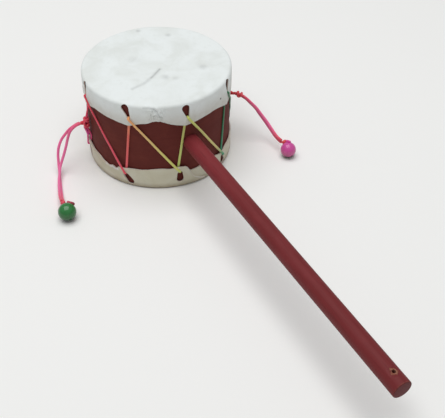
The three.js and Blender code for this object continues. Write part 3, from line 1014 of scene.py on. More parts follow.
@dataclass(frozen=True)
class LacingForm:
    """The lacing cord's route over both skins, between their holes."""

    drum: DrumForm
    upper: SkinForm
    lower: SkinForm
    cord: Cord
    hitches: tuple[HitchPlace, ...]
    clearance: float = 0.05
    rest: float = 0.03
    pull_radius: float = 46.3
    pull_reach: float = 10.0
    hitch_height: float = 3.8
    past_edge: float = 0.6
    start: int = 6
    skin_points: int = 5
    free_points: int = 5
    free_heights: tuple[float, ...] = (16.0, 22.0, 30.0, 38.0, 44.0)

    @property
    def under(self) -> float:
        """Gives the distance from the axis of the runs that lie on the shell."""
        return self.drum.shell_radius + self.cord.half_thick + self.rest

    def run_turn(self, index: int, height: float) -> float:
        """Gives the turn of an upright run at a height."""
        low, high = self.lower.tip(index), self.upper.tip(index)
        bottom, top = self.lower.height_at(low.depth), self.upper.height_at(high.depth)
        share = (height - bottom) / (top - bottom)
        return mix(low.turn + low.aside, high.turn + high.aside, share)

    def lift_at(self, skin: SkinForm, turn: float, depth: float) -> float:
        """Gives how far a skin stands off the drum, on the cord that runs under it."""
        count = len(skin.tips)
        index = min(range(count), key=lambda i: abs(turned_by(turn, skin.tips[i].turn)))
        tip = skin.tips[index]
        run = self.run_turn(index, skin.height_at(max(depth, tip.depth)))
        away = abs(math.radians(turned_by(turn, run))) * self.drum.radius
        start = self.drum.rim_round
        risen = min(max((depth - start) / (tip.depth - start), 0), 1)
        return skin.lift * risen * math.exp(-((away / skin.lift_spread) ** 1.5))

    def over(self, skin: SkinForm, turn: float, depth: float) -> float:
        """Gives the distance from the axis of a run that lies on a skin."""
        lift = self.lift_at(skin, turn, depth)
        return self.drum.radius + lift + self.cord.half_thick + self.clearance

    def through_hole(self, skin: SkinForm, index: int) -> list[Vector]:
        """Gives the cord's way round a hole's tip, from under the skin to its outside."""
        tip = skin.tip(index)
        stand = self.lift_at(skin, tip.turn, tip.depth)
        under = skin.height_at(tip.depth + self.cord.diameter)
        inside = self.drum.radius - self.drum.skin + stand - self.cord.half_thick
        middle = self.drum.radius - self.drum.skin / 2 + stand
        # Each is a distance from the axis, and how far the cord is past the tip into the hole there
        rounds = (
            (inside - 0.1, 0.35),
            (middle, self.cord.half_thick + 0.12),
            (self.over(skin, tip.turn, tip.depth), 0.3),
        )
        first = on_drum(self.run_turn(index, under), self.under, under)
        return [first, *(on_drum(tip.turn, r, skin.height_at(tip.depth - rise)) for r, rise in rounds)]

    def edge_crossing(self, skin: SkinForm, turn_at: Callable[[float], float]) -> float:
        """Finds the depth where a slanting run crosses a skin's cut edge."""
        depth = skin.edge
        for _ in range(4):
            depth = skin.edge_depth(turn_at(skin.height_at(depth)))
        return depth

    def slanting(self, index: int) -> list[Vector]:
        """Gives the run from an upper hole down to the next lower hole."""
        start, end = self.upper.tip(index), self.lower.tip(index + 1)
        high, low = self.upper.height_at(start.depth), self.lower.height_at(end.depth)

        def turn_at(height: float) -> float:
            """Gives the run's turn at a height."""
            return mix(start.turn, end.turn, (high - height) / (high - low))

        def over_skin(skin: SkinForm, tip: Tip) -> list[Vector]:
            """Gives the stretch that lies on a skin, from its hole to just past its edge."""
            first = tip.depth + self.cord.diameter
            last = self.edge_crossing(skin, turn_at) + self.past_edge
            points = []
            for step in range(self.skin_points):
                depth = mix(first, last, step / (self.skin_points - 1))
                turn = turn_at(skin.height_at(depth))
                points.append(on_drum(turn, self.over(skin, turn, depth), skin.height_at(depth)))
            return points

        upper, lower = over_skin(self.upper, start), over_skin(self.lower, end)
        free = []
        for step in range(1, self.free_points + 1):
            point = upper[-1].lerp(lower[-1], step / (self.free_points + 1))
            reach = max(math.hypot(point.x, point.y), self.under - 0.2)
            free.append(on_drum(turn_at(point.z), reach, point.z))
        return [*upper, *free, *reversed(lower)]

    def upright(self, index: int) -> list[Vector]:
        """Gives the run from a lower hole to the upper hole above it, under both skins."""
        pulled = [hitch.height for hitch in self.hitches if hitch.run == index % len(self.upper.tips)]
        if not pulled:
            return [on_drum(self.run_turn(index, z), self.under, z) for z in self.free_heights]
        height = pulled[0]
        hold = (self.hitch_height + self.cord.diameter) / 2
        turn = self.run_turn(index, height)
        rows = (
            (-self.pull_reach, self.under),
            (-hold, self.pull_radius),
            (hold, self.pull_radius),
            (self.pull_reach, self.under),
        )
        return [on_drum(turn, radius, height + rise) for rise, radius in rows]

    def route(self) -> Route:
        """Gives the whole route, which ends where it starts, under the upper skin."""
        points: list[Vector] = []
        for index in range(self.start, self.start + len(self.upper.tips)):
            points += self.through_hole(self.upper, index)
            points += self.slanting(index)
            points += reversed(self.through_hole(self.lower, index + 1))
            points += self.upright(index + 1)
        points.append(points[0] - Vector((0, 0, 2 * self.drum.gap)))
        return Route(tuple(points))


# The drum's pieces


@dataclass(frozen=True)
class Fold:
    """A place where one layer of a skin lies over another, along a chain of turns and heights."""

    line: Chain
    rise: float = 0.75
    reach: float = 7.0


@dataclass(frozen=True)
class Ridge:
    """A wrinkle of a skirt along a chain of turns and heights, which sinks in with a negative rise."""

    line: Chain
    rise: float
    width: float = 0.8


@dataclass(frozen=True)
class Pucker:
    """A low bump of the head at a place seen from its middle."""

    x: float
    y: float
    spread: float
    rise: float


@dataclass(frozen=True)
class Crumple:
    """A crumpled patch of the skirt at a turn and a depth."""

    turn: float
    depth: float
    spread: float
    rise: float


@dataclass
class Skin:
    """One skin: a stretched head with a skirt cut by hand and laced through teardrop holes.

    Rim_reach is where the head's waves give way to the rim's. Crease_lip and crease_groove are each a
    height and a width. Curl_from is how far down the skirt its edge starts to curl, as a share.
    """

    form: SkinForm
    lacing: LacingForm
    name: str
    node: str
    cells: int = 124
    rim_rows: int = 5
    skirt_rows: int = 32
    ragged: float = 0.16
    rim_wave: float = 0.16
    head_wave: float = 0.18
    pleat: float = 0.32
    curl: float = 0.35
    edge_softness: float = 0.14
    rim_reach: tuple[float, float] = (36.0, 43.0)
    crease_lip: tuple[float, float] = (0.16, 3.6)
    crease_groove: tuple[float, float] = (0.24, 1.6)
    curl_from: float = 0.72
    torn: tuple[Bite, ...] = ()
    crease: tuple[Vector, ...] = ()
    puckers: tuple[Pucker, ...] = ()
    fold: Optional[Fold] = None
    crumples: tuple[Crumple, ...] = ()
    ridges: tuple[Ridge, ...] = ()
    seed: float = 0.0

    def make(self, bench: Bench, hide: bpy.types.Material, cut: bpy.types.Material) -> bpy.types.Object:
        """Makes the skin.

        Args:
            bench: Where its pieces are finished.
            hide: The finish of its faces.
            cut: The finish of its cut edges.

        Returns:
            The finished object.
        """
        mesh = self._blank()
        self._trim_edge(mesh)
        for tip in self.form.tips:
            self._cut_hole(mesh, tip)
        for vert in mesh.verts:
            vert.co = self._shaped(vert.co)
        bmesh.ops.recalc_face_normals(mesh, faces=mesh.faces)
        centre = min(mesh.faces, key=lambda face: face.calc_center_median().xy.length)
        if centre.normal.z * self.form.face.value < 0:
            bmesh.ops.reverse_faces(mesh, faces=mesh.faces)
        made = bench.piece(self.name, mesh, (hide, cut), "hide", (self.node,), sharp_above=70)
        thick = made.modifiers.new("thickness", "SOLIDIFY")
        thick.thickness = self.form.drum.skin * MM
        thick.offset = -1
        thick.use_even_offset = False
        thick.material_offset_rim = 1
        soft = made.modifiers.new("soft edges", "BEVEL")
        soft.width = self.edge_softness * MM
        soft.segments = 2
        soft.limit_method = "ANGLE"
        soft.angle_limit = math.radians(60)
        soft.harden_normals = True
        bench.settle(made)
        return made

    def _blank(self) -> bmesh.types.BMesh:
        """Makes a plain cap: a disc whose border is drawn down over the rim into a skirt.

        Heights are depths below the head, negative, on a plain cylinder.
        """
        drum = self.form.drum
        mesh = bmesh.new()
        bmesh.ops.create_grid(mesh, x_segments=self.cells, y_segments=self.cells, size=1)
        flat = drum.radius - drum.rim_round
        for vert in mesh.verts:
            vert.co = self._on_disc(vert.co.x, vert.co.y) * flat
        border = [edge for edge in mesh.edges if edge.is_boundary]
        rows = []
        for row in range(1, self.rim_rows + 1):
            angle = math.pi / 2 * row / self.rim_rows
            out = flat + drum.rim_round * math.sin(angle)
            rows.append((out, -drum.rim_round * (1 - math.cos(angle))))
        for row in range(1, self.skirt_rows + 1):
            share = row / self.skirt_rows
            rows.append((drum.radius, -mix(drum.rim_round, self.form.edge, share)))
        for radius, depth in rows:
            grown = bmesh.ops.extrude_edge_only(mesh, edges=border)["geom"]
            for vert in (item for item in grown if isinstance(item, bmesh.types.BMVert)):
                scale = radius / math.hypot(vert.co.x, vert.co.y)
                vert.co = Vector((vert.co.x * scale, vert.co.y * scale, depth))
            edges = (item for item in grown if isinstance(item, bmesh.types.BMEdge))
            border = [edge for edge in edges if edge.is_boundary]
        return mesh

    @staticmethod
    def _on_disc(x: float, y: float) -> Vector:
        """Moves a point of a square onto the disc inside it, with its border evenly spaced."""
        steep = abs(y) > abs(x)
        main, cross = (y, x) if steep else (x, y)
        if main == 0:
            return Vector((0, 0, 0))
        angle = math.pi / 4 * cross / main
        along, aside = main * math.cos(angle), main * math.sin(angle)
        return Vector((aside, along, 0) if steep else (along, aside, 0))

    def _trim_edge(self, mesh: bmesh.types.BMesh) -> None:
        """Draws the skirt out to its hand-cut edge."""
        start = self.form.drum.rim_round
        for vert in mesh.verts:
            depth = -vert.co.z
            if depth <= start + 1e-6:
                continue
            share = (depth - start) / (self.form.edge - start)
            turn = turn_of(vert.co)
            edge = self.form.edge_depth(turn) + self._raggedness(turn, vert.co)
            vert.co.z = -mix(start, edge, share)

    def _raggedness(self, turn: float, point: Vector) -> float:
        """Gives the small unevenness of the cut edge at a turn."""
        flat = Vector((point.x, point.y, self.seed))
        uneven = self.ragged * ripple(flat, 3.5, 3)
        for bite in self.torn:
            here = swell(turned_by(turn, bite.turn), bite.spread)
            uneven += here * bite.deeper * (ripple(flat, 1.1, 4) - 0.2)
        return uneven

    def _cut_hole(self, mesh: bmesh.types.BMesh, tip: Tip) -> None:
        """Takes a teardrop hole out of the skirt and draws its border onto the true outline."""
        form = self.form
        radius = form.drum.radius

        def local(point: Vector) -> tuple[float, float]:
            """Gives a point's place from the tip: along the turn, and towards the head."""
            return math.radians(turned_by(turn_of(point), tip.turn)) * radius, tip.depth + point.z

        def outside(x: float, y: float) -> float:
            """Gives the distance outside the teardrop, negative within it."""
            small = Vector((0, form.tip_round))
            big = Vector((tip.lean, form.hole_length - form.hole_round))
            axis = big - small
            length = axis.length
            axis.normalize()
            offset = Vector((x, y)) - small
            across = abs(axis.x * offset.y - axis.y * offset.x)
            along = axis.dot(offset)
            lean = (form.tip_round - form.hole_round) / length
            straight = math.sqrt(1 - lean * lean)
            side = -lean * across + straight * along
            if side < 0:
                return math.hypot(across, along) - form.tip_round
            if side > straight * length:
                return math.hypot(across, along - length) - form.hole_round
            return straight * across + lean * along - form.tip_round

        near = [face for face in mesh.faces if self._is_near(face.calc_center_median(), tip)]
        gone = [face for face in near if outside(*local(face.calc_center_median())) < 0]
        ring = {vert for face in gone for vert in face.verts}
        bmesh.ops.delete(mesh, geom=gone, context="FACES")
        for vert in (v for v in ring if v.is_valid):
            x, y = local(vert.co)
            for _ in range(3):
                away, tiny = outside(x, y), 0.01
                slope = Vector((outside(x + tiny, y) - away, outside(x, y + tiny) - away)) / tiny
                x, y = x - away * slope.x, y - away * slope.y
            turn = tip.turn + math.degrees(x / radius)
            vert.co = on_drum(turn, self._plain_radius(tip.depth - y), y - tip.depth)

    def _plain_radius(self, depth: float) -> float:
        """Gives the plain cap's distance from the axis at a depth, round its rim and down its skirt."""
        drum = self.form.drum
        short = max(drum.rim_round - depth, 0.0)
        return drum.radius - drum.rim_round + math.sqrt(max(drum.rim_round ** 2 - short ** 2, 0.0))

    def _is_near(self, point: Vector, tip: Tip) -> bool:
        """Tells whether a place below the head is close enough to a tip to be in its hole."""
        if -point.z < self.form.drum.rim_round * 0.08:
            return False
        return abs(turned_by(turn_of(point), tip.turn)) < self.form.hole_reach

    def _shaped(self, point: Vector) -> Vector:
        """Moves a point of the plain cap to where the worn skin has it."""
        drum = self.form.drum
        depth = -point.z
        out = math.hypot(point.x, point.y)
        if depth < 1e-6:
            height = self.form.height_at(-self._head_relief(point, out))
            return Vector((point.x, point.y, height))
        turn = turn_of(point)
        stand = self.lacing.lift_at(self.form, turn, depth) + self._skirt_relief(turn, depth)
        rim = self._rim_relief(point) * swell(depth, 2.5)
        height = self.form.height_at(depth - rim)
        radius = out + stand + 0.5 * rim * eased(drum.radius - drum.rim_round, drum.radius, out)
        return on_drum(turn, radius, height)

    def _rim_relief(self, point: Vector) -> float:
        """Gives the upper rim's slight unevenness."""
        if self.form.face is Face.DOWN:
            return 0.0
        return self.rim_wave * ripple(Vector((point.x, point.y, self.seed + 9)), 17, 2)

    def _head_relief(self, point: Vector, out: float) -> float:
        """Gives how far the head stands up at a point."""
        if self.form.face is Face.DOWN:
            return 0.0
        waves = self.head_wave * ripple(Vector((point.x, point.y, self.seed)), 14, 3)
        waves = mix(waves, self._rim_relief(point), eased(*self.rim_reach, out))
        for pucker in self.puckers:
            away = math.hypot(point.x - pucker.x, point.y - pucker.y)
            waves += pucker.rise * swell(away, pucker.spread)
        if self.crease:
            away, _ = nearest_on(self.crease, Vector((point.x, point.y, self.crease[0].z)))
            uneven = 0.75 + 0.5 * ripple(Vector((point.x, point.y, 4.0)), 5, 1)
            lip, lip_width = self.crease_lip
            groove, groove_width = self.crease_groove
            waves += uneven * (lip * swell(away, lip_width) - groove * swell(away, groove_width))
        return waves

    def _skirt_relief(self, turn: float, depth: float) -> float:
        """Gives how far the skirt stands off the drum by itself: pleats, a curled edge, a fold."""
        drum = self.form.drum
        flat = on_drum(turn, drum.radius, 0)
        share = (depth - drum.rim_round) / (self.form.edge - drum.rim_round)
        loose = eased(0.1, 1.0, share)
        pleats = self.pleat * max(ripple(flat + Vector((0, 0, self.seed + 3)), 7, 2), -0.2) * loose
        curl = self.curl * max(ripple(flat + Vector((0, 0, self.seed + 21)), 9, 2), 0)
        curl *= eased(self.curl_from, 1.0, share)
        crumpled = 0.0
        for patch in self.crumples:
            x = math.radians(turned_by(turn, patch.turn)) * drum.radius
            here = swell(math.hypot(x, (depth - patch.depth) * 0.8), patch.spread)
            lines = abs(ripple(Vector((x * 1.3, depth * 0.8, self.seed)), 2.4, 3))
            crumpled += here * patch.rise * (0.5 - 2.2 * lines)
        for ridge in self.ridges:
            crumpled += ridge.rise * swell(self._away(ridge.line, turn, depth)[0], ridge.width)
        return pleats + curl + crumpled + self._fold_relief(turn, depth)

    def _away(self, chain: Chain, turn: float, depth: float) -> tuple[float, Vector, Vector]:
        """Measures a place on the skirt from a chain of turns and heights.

        Args:
            chain: The chain.
            turn: The place's turn.
            depth: The place's depth.

        Returns:
            The distance, the direction of the nearest stretch, and the way from the nearest corner.
        """
        radius = self.form.drum.radius
        line = [Vector((math.radians(t) * radius, z, 0)) for t, z in chain]
        here = Vector((math.radians(turned_by(turn, 0)) * radius, self.form.height_at(depth), 0))
        away, way = nearest_on(line, here)
        near = min(line, key=lambda corner: (corner - here).length)
        return away, way, here - near

    def _fold_relief(self, turn: float, depth: float) -> float:
        """Gives the rise of the layer that lies over another, highest at its edge."""
        if self.fold is None:
            return 0.0
        away, way, offset = self._away(self.fold.line, turn, depth)
        if way.cross(offset).z > 0:
            return -0.1 * swell(away, 1.2)
        return self.fold.rise * eased(-0.1, 0.45, away) * math.exp(-away / self.fold.reach)


@dataclass
class Shell:
    """The hollow turned shell, bored through for the handle."""

    drum: DrumForm
    steps: int = 256
    row_step: float = 1.0
    bevel: float = 1.0
    lathe_mark: float = 0.05
    bore_gap: float = 0.18
    bore_sides: int = 72

    def make(self, bench: Bench, paint: bpy.types.Material) -> bpy.types.Object:
        """Makes the shell.

        Args:
            bench: Where its pieces are finished.
            paint: Its finish.

        Returns:
            The finished object.
        """
        drum = self.drum
        low = drum.skin + drum.gap
        high = drum.height - low
        outside, inside = drum.shell_radius, drum.shell_radius - drum.wall
        bevel = self.bevel
        rows = [(inside, low), (outside - bevel, low), (outside, low + bevel)]
        count = round((high - low - 2 * bevel) / self.row_step)
        for row in range(1, count):
            height = mix(low + bevel, high - bevel, row / count)
            rows.append((outside + self.lathe_mark * ripple(Vector((0, 0, height)), 2.5, 2), height))
        rows += [(outside, high - bevel), (outside - bevel, high), (inside, high), (inside, low)]
        made = bench.piece("drum_shell", spun(rows, self.steps), (paint,), "shell_paint", ("shell",))
        centre = (0.0, 0.0, drum.handle_height)
        radius = drum.handle_radius + self.bore_gap
        bench.bore(made, radius, 3 * drum.radius, centre, ALONG_X, self.bore_sides)
        return made


@dataclass
class Handle:
    """The dowel: square-cut, painted, with a small hole through it near its end."""

    drum: DrumForm
    reach: float = 240.0
    hole_from_end: float = 7.2
    hole_radius: float = 0.95
    hole_sides: int = 32
    chip: float = 0.34
    chip_reach: float = 4.0
    chip_from: float = 3.0
    chip_to: float = 1.2
    chip_raggedness: float = 0.9
    start_round: float = 0.3
    start_straight: float = 3.0
    end_round: float = 0.5
    end_rows: int = 4
    steps: int = 112
    row_step: float = 2.0
    row_step_at_hole: float = 0.3
    unevenness: float = 0.004

    @property
    def hole(self) -> float:
        """Gives how far along the handle its small hole is."""
        return self.reach - self.hole_from_end

    def make(self, bench: Bench, paint: bpy.types.Material) -> bpy.types.Object:
        """Makes the handle.

        Args:
            bench: Where its pieces are finished.
            paint: Its finish.

        Returns:
            The finished object.
        """
        radius, middle = self.drum.handle_radius, self.drum.handle_height
        start = -math.sqrt(self.drum.shell_radius ** 2 - radius ** 2) + self.drum.gap
        rows = [(0, start), (radius - self.start_round, start), (radius, start + self.start_round)]
        place = start + self.start_straight
        while place < self.reach - self.end_round - self.row_step_at_hole:
            uneven = self.unevenness * ripple(Vector((place, 0, 5)), 22, 2)
            rows.append((radius * (1 + uneven), place))
            at_hole = abs(place - self.hole) < self.chip_reach
            place += self.row_step_at_hole if at_hole else self.row_step
        for step in range(self.end_rows + 1):
            angle = math.pi / 2 * step / self.end_rows
            inset = self.end_round * (1 - math.cos(angle))
            rows.append((radius - inset, self.reach - self.end_round * (1 - math.sin(angle))))
        rows.append((0, self.reach))
        mesh = spun(rows, self.steps)
        bmesh.ops.transform(mesh, matrix=Matrix.Translation((0, 0, middle)) @ ALONG_X, verts=mesh.verts)
        self._wear_hole(mesh)
        made = bench.piece("painted_handle", mesh, (paint,), "handle_paint", ("handle",))
        centre = (self.hole, 0.0, middle)
        bench.bore(made, self.hole_radius, 4 * radius, centre, Matrix.Identity(4), self.hole_sides)
        return made

    def _wear_hole(self, mesh: bmesh.types.BMesh) -> None:
        """Chips the wood away round the hole's two mouths."""
        middle = self.drum.handle_height
        for vert in mesh.verts:
            away = math.hypot(vert.co.x - self.hole, vert.co.y)
            if away > self.chip_reach or abs(vert.co.z - middle) < 2:
                continue
            away += self.chip_raggedness * ripple(vert.co, 1.3, 2)
            chip = eased(self.chip_from, self.chip_to, away) * self.chip
            vert.co.z -= math.copysign(chip, vert.co.z - middle)


@dataclass(frozen=True)
class Row:
    """A point of the middle line between a string's two strands."""

    at: Place
    half: float
    roll: float


@dataclass(frozen=True)
class Tail:
    """A loose end of a string's cord: its name, the points that it follows and its colours."""

    name: str
    points: tuple[Vector, ...]
    dye: Dye


@dataclass(frozen=True)
class Wrap:
    """Turns of a cord's end round both strands, between two distances along them."""

    name: str
    start: float
    end: float
    turns: float
    radius: float
    dye: Dye


@dataclass(frozen=True)
class Bead:
    """A bored bead, a little out of round, whose mouth is the way that its string leaves it."""

    colour: str
    gloss: BeadGloss
    centre: Vector
    mouth: Vector
    radius: float
    bore: float = 1.5
    far_bore: float = 0.5
    lip: float = 0.4
    rows: int = 40
    steps: int = 72
    unevenness: float = 0.006

    def make(self, bench: Bench) -> bpy.types.Object:
        """Makes the bead.

        Args:
            bench: Where it is finished.

        Returns:
            The finished object.
        """
        near, far = (math.acos((bore + self.lip) / self.radius) for bore in (self.bore, self.far_bore))
        section = []
        for step in range(self.rows + 1):
            angle = mix(-far, near, step / self.rows)
            section.append((self.radius * math.cos(angle), self.radius * math.sin(angle)))
        near_lip = self._lip(self.bore, section[-1][1], 1)
        far_lip = self._lip(self.far_bore, section[0][1], -1)
        section = [*section, *near_lip, *reversed(far_lip), section[0]]
        mesh = aimed(spun(section, self.steps), self.mouth, self.centre)
        for vert in mesh.verts:
            vert.co += (vert.co - self.centre) * self.unevenness * ripple(vert.co, 4, 2)
        name, node = f"{self.colour}_bored_bead", f"{self.colour}_bead"
        return bench.piece(name, mesh, (self.gloss.made(),), self.gloss.name, (node,))

    def _lip(self, bore: float, height: float, way: int) -> list[tuple[float, float]]:
        """Gives the rounded lip of one mouth, from outside to inside."""
        lip = []
        for angle in (0.5, 1.0, 1.5):
            down = way * self.lip * (1 - math.cos(angle))
            lip.append((bore + self.lip * (1 - math.sin(angle)), height - down))
        return lip


# The upper half of a hitch: how far out, across and up each place is from the lacing
HITCH_TURNS = (
    (2.2, 1.95, 0.0),
    (2.1, 2.0, 1.2),
    (1.5, 2.1, 2.1),
    (0.4, 1.95, 2.45),
    (-0.8, 1.5, 2.55),
    (-1.45, 0.2, 2.6),
    (-1.0, -1.3, 2.58),
    (0.2, -1.72, 2.55),
    (1.35, -1.0, 2.5),
    (1.6, 0.1, 2.3),
    (1.25, 1.05, 1.95),
    (0.4, 1.75, 1.5),
    (-0.8, 1.5, 1.1),
    (-1.45, 0.2, 0.92),
    (-1.0, -1.3, 0.88),
    (0.2, -1.72, 0.86),
    (1.35, -1.0, 0.86),
    (2.1, 0.0, 0.86),
)


@dataclass(frozen=True)
class BeadString:
    """A doubled string hitched on the lacing, with a bead on its end.

    Tightened is how much thinner and closer the cord is in its hitch.
    """

    side: str
    cord: Cord
    lacing: LacingForm
    hitch: HitchPlace
    rows: tuple[Row, ...]
    bead: Bead
    dye: Dye
    end_dye: Dye
    tails: tuple[Tail, ...] = ()
    wraps: tuple[Wrap, ...] = ()
    tightened: float = 0.8
    # How far the painted shade darkens the braid's crevices.
    groove: float = 0.25
    knot_stand: float = 0.75
    knot_size: float = 0.28
    knot_depth: float = 0.5
    knot_end: tuple[float, ...] = (2.0, 4.4)
    knot_points: int = 20

    def strand(self, sign: int) -> list[Vector]:
        """Gives one strand's centre line.

        Args:
            sign: 1 for the first strand and -1 for the second.

        Returns:
            Its samples.
        """
        middles = [Vector(row.at) for row in self.rows]
        points = []
        for row, middle, along in zip(self.rows, middles, ways_along(middles)):
            side = Vector((0, 0, 1)).cross(along).normalized()
            top = along.cross(side)
            roll = math.radians(row.roll)
            offset = side * math.cos(roll) + top * math.sin(roll)
            points.append(middle + sign * row.half * offset)
        return Route(tuple(points)).drawn(self.cord.step)

    def make(self, bench: Bench) -> None:
        """Makes the string, its hitch, its bead, its knot and its two strands.

        Args:
            bench: Where its pieces are finished.
        """
        strands = [self.strand(1), self.strand(-1)]
        pieces = [self._hitch(bench, strands), self.bead.make(bench), self._knot(bench)]
        for tail in self.tails:
            line = Route(tail.points).drawn(self.cord.step)
            pieces.append(self._corded(bench, tail.name, line, tail.dye, 7.0))
        for wrap in self.wraps:
            pieces.append(self._corded(bench, wrap.name, self._wrapped(wrap), wrap.dye, 3.0))
        for letter, seed, line in zip("ab", (1.0, 4.0), strands):
            name, node = f"{self.side}_strand_{letter}", f"{self.side}_string_{letter}"
            made = self._corded(bench, name, line, self.dye, seed, (node,))
            tuple(line[0] * MM)
            length_of(line) * MM
            [tuple(point * MM) for point in line]
            LOG.info("%s: %.1f mm long", name, length_of(line))

    def _corded(
        self,
        bench: Bench,
        name: str,
        line: Sequence[Vector],
        dye: Dye,
        seed: float,
        stands_for: Sequence[str] = (),
        drawn_in: float = 1.0,
    ) -> bpy.types.Object:
        """Makes one piece of the string's cord.

        Args:
            bench: Where it is finished.
            name: Its name.
            line: Its centre line.
            dye: Its colours along its length.
            seed: Where its slight unevenness starts.
            stands_for: The nodes that it replaces.
            drawn_in: Its thickness there, as a share of the loose cord's.

        Returns:
            The finished piece.
        """
        cord = replace(self.cord, diameter=self.cord.diameter * drawn_in)
        satin = Satin(f"{name}_satin", length_of(line), dye, cord.pitch, cord.carriers, self.groove)
        mesh = cord.laid(line, seed=seed)
        return bench.piece(name, mesh, (satin.made(),), "pink_satin", stands_for)

    def _wrapped(self, wrap: Wrap) -> list[Vector]:
        """Gives the line of turns round both strands."""
        middle = Route(tuple(Vector(row.at) for row in self.rows)).drawn(self.cord.step)
        first, last = (round(along / self.cord.step) for along in (wrap.start, wrap.end))
        chosen = self.cord.frames(middle)[first:last]
        points = []
        for index, (point, side, up) in enumerate(chosen):
            angle = 2 * math.pi * wrap.turns * index / (len(chosen) - 1)
            points.append(point + (side * math.cos(angle) + up * math.sin(angle)) * wrap.radius)
        return Route(tuple(points)).drawn(self.cord.step)

    def _hitch(self, bench: Bench, strands: Sequence[Sequence[Vector]]) -> bpy.types.Object:
        """Makes the hitch that holds the string on the lacing's upright run: two turns up, two down."""
        turn = self.lacing.run_turn(self.hitch.run, self.hitch.height)
        centre = on_drum(turn, self.lacing.pull_radius, self.hitch.height)
        out = on_drum(turn, 1, 0)
        across = Vector((0, 0, 1)).cross(out)

        def placed(x: float, y: float, z: float) -> Vector:
            """Gives a point from how far out, across and up it is from the lacing."""
            return centre + (out * x + across * y) * self.tightened + Vector((0, 0, z))

        first = [placed(x, y, z) for x, y, z in HITCH_TURNS]
        second = [placed(x, y, -z) for x, y, z in HITCH_TURNS[1:]]
        upper, lower = strands
        if (upper[0] - first[-1]).length > (lower[0] - first[-1]).length:
            upper, lower = lower, upper
        points = [upper[0], *reversed(first), *second, lower[0]]
        line = Route(tuple(points)).drawn(self.cord.step)
        name, nodes = f"{self.side}_wound_hitch", (f"{self.side}_hitch",)
        return self._corded(bench, name, line, self.end_dye, 2.0, nodes, self.tightened)

    def _knot(self, bench: Bench) -> bpy.types.Object:
        """Makes the overhand knot in the bead's mouth, with the cord's end in the bore."""
        bead = self.bead
        mouth = bead.mouth.normalized()
        centre = bead.centre + mouth * (bead.radius + self.knot_stand)
        side = mouth.orthogonal().normalized()
        up = mouth.cross(side)
        points = []
        for step in range(self.knot_points + 1):
            t = mix(0.35, 2 * math.pi + 0.05, step / self.knot_points)
            x, y = math.sin(t) + 2 * math.sin(2 * t), math.cos(t) - 2 * math.cos(2 * t)
            across = side * x * self.knot_size + up * y * self.knot_size
            points.append(centre + across - mouth * math.sin(3 * t) * self.knot_depth)
        points += [centre - mouth * depth for depth in self.knot_end]
        line = Route(tuple(points)).drawn(self.cord.step)
        name, node = f"{bead.colour}_tied_knot", f"{bead.colour}_knot"
        return self._corded(bench, name, line, self.end_dye, 5.0, (node,))


# The studio


@dataclass(frozen=True)
class Viewpoint:
    """The camera, where the photograph was taken from."""

    place: Vector = Vector((370.53, -163.5, 311.73))
    right: Vector = Vector((0.48453314, 0.87469991, 0.01130041))
    up: Vector = Vector((-0.5945208, 0.31979901, 0.73774902))
    lens: float = 63.31
    sensor: float = 36.0

    def make(self) -> None:
        """Makes the camera and sets it as the scene's."""
        data = bpy.data.cameras.new("viewpoint")
        data.lens = self.lens
        data.sensor_width = self.sensor
        data.clip_start = 0.01
        data.clip_end = 20
        camera = linked("viewpoint", data)
        back = self.right.cross(self.up).normalized()
        turn = Matrix((self.right, self.up, back)).transposed().to_4x4()
        camera.matrix_world = Matrix.Translation(self.place * MM) @ turn
        bpy.context.scene.camera = camera


@dataclass(frozen=True)
class Lamp:
    """A large soft square lamp, placed in metres, that looks at the drum."""

    name: str
    place: Place
    size: float
    power: float
    target: Place = (0.02, 0.0, 0.03)

    def make(self) -> None:
        """Makes the lamp and turns it to the drum."""
        data = bpy.data.lights.new(self.name, "AREA")
        data.shape = "SQUARE"
        data.size = self.size
        data.energy = self.power
        lamp = linked(self.name, data)
        lamp.location = self.place
        way = Vector(self.target) - Vector(self.place)
        lamp.rotation_euler = way.to_track_quat("-Z", "Y").to_euler()


@dataclass(frozen=True)
class Studio:
    """The floor, the lamp and the light all round."""

    lamp: Lamp
    sky: Rgb
    sky_strength: float
    floor: FloorPaper
    floor_half: float = 2.5

    def make(self) -> None:
        """Makes the studio."""
        world = bpy.data.worlds.new("studio sky")
        bpy.context.scene.world = world
        world.use_nodes = True
        background = world.node_tree.nodes["Background"]
        background.inputs["Color"].default_value = self.sky
        background.inputs["Strength"].default_value = self.sky_strength
        bpy.context.scene.view_settings.view_transform = "Standard"
        sheet = bmesh.new()
        bmesh.ops.create_grid(sheet, x_segments=8, y_segments=8, size=self.floor_half)
        floor = linked_mesh("floor", sheet)
        floor.data.materials.append(self.floor.made())
        self.lamp.make()


# This drum

DRUM = DrumForm()
LACE = Cord(diameter=1.5, flat=0.66)
STRING = Cord(diameter=1.7)

UPPER_SKIN = SkinForm(
    drum=DRUM,
    face=Face.UP,
    edge=13.0,
    hole_length=8.7,
    tips=(
        Tip(-91.5, 9.2, -1.5),
        Tip(-46.1, 9.1, -2.3),
        Tip(-3.0, 10.0, -1.0, -1.3),
        Tip(39.6, 9.2, 0.6, -1.4),
        Tip(87.0, 9.4, -0.8),
        Tip(131.0, 9.7, -1.6),
        Tip(176.0, 9.2, -0.6),
        Tip(222.0, 9.5, -1.2),
    ),
    bites=(
        Bite(-92, 1.4, 8),
        Bite(-77, -0.5, 5),
        Bite(-50, 0.9, 12),
        Bite(-38.5, -0.9, 5),
        Bite(-26, -3.2, 8),
        Bite(-2, 1.6, 10),
        Bite(11, 0.4, 8),
        Bite(41, 3.4, 12),
        Bite(87, 1.5, 9),
        Bite(110, -1.4, 8),
        Bite(131, 1.6, 9),
        Bite(176, 1.4, 10),
        Bite(201, -1.2, 9),
        Bite(223, 1.3, 9),
    ),
)
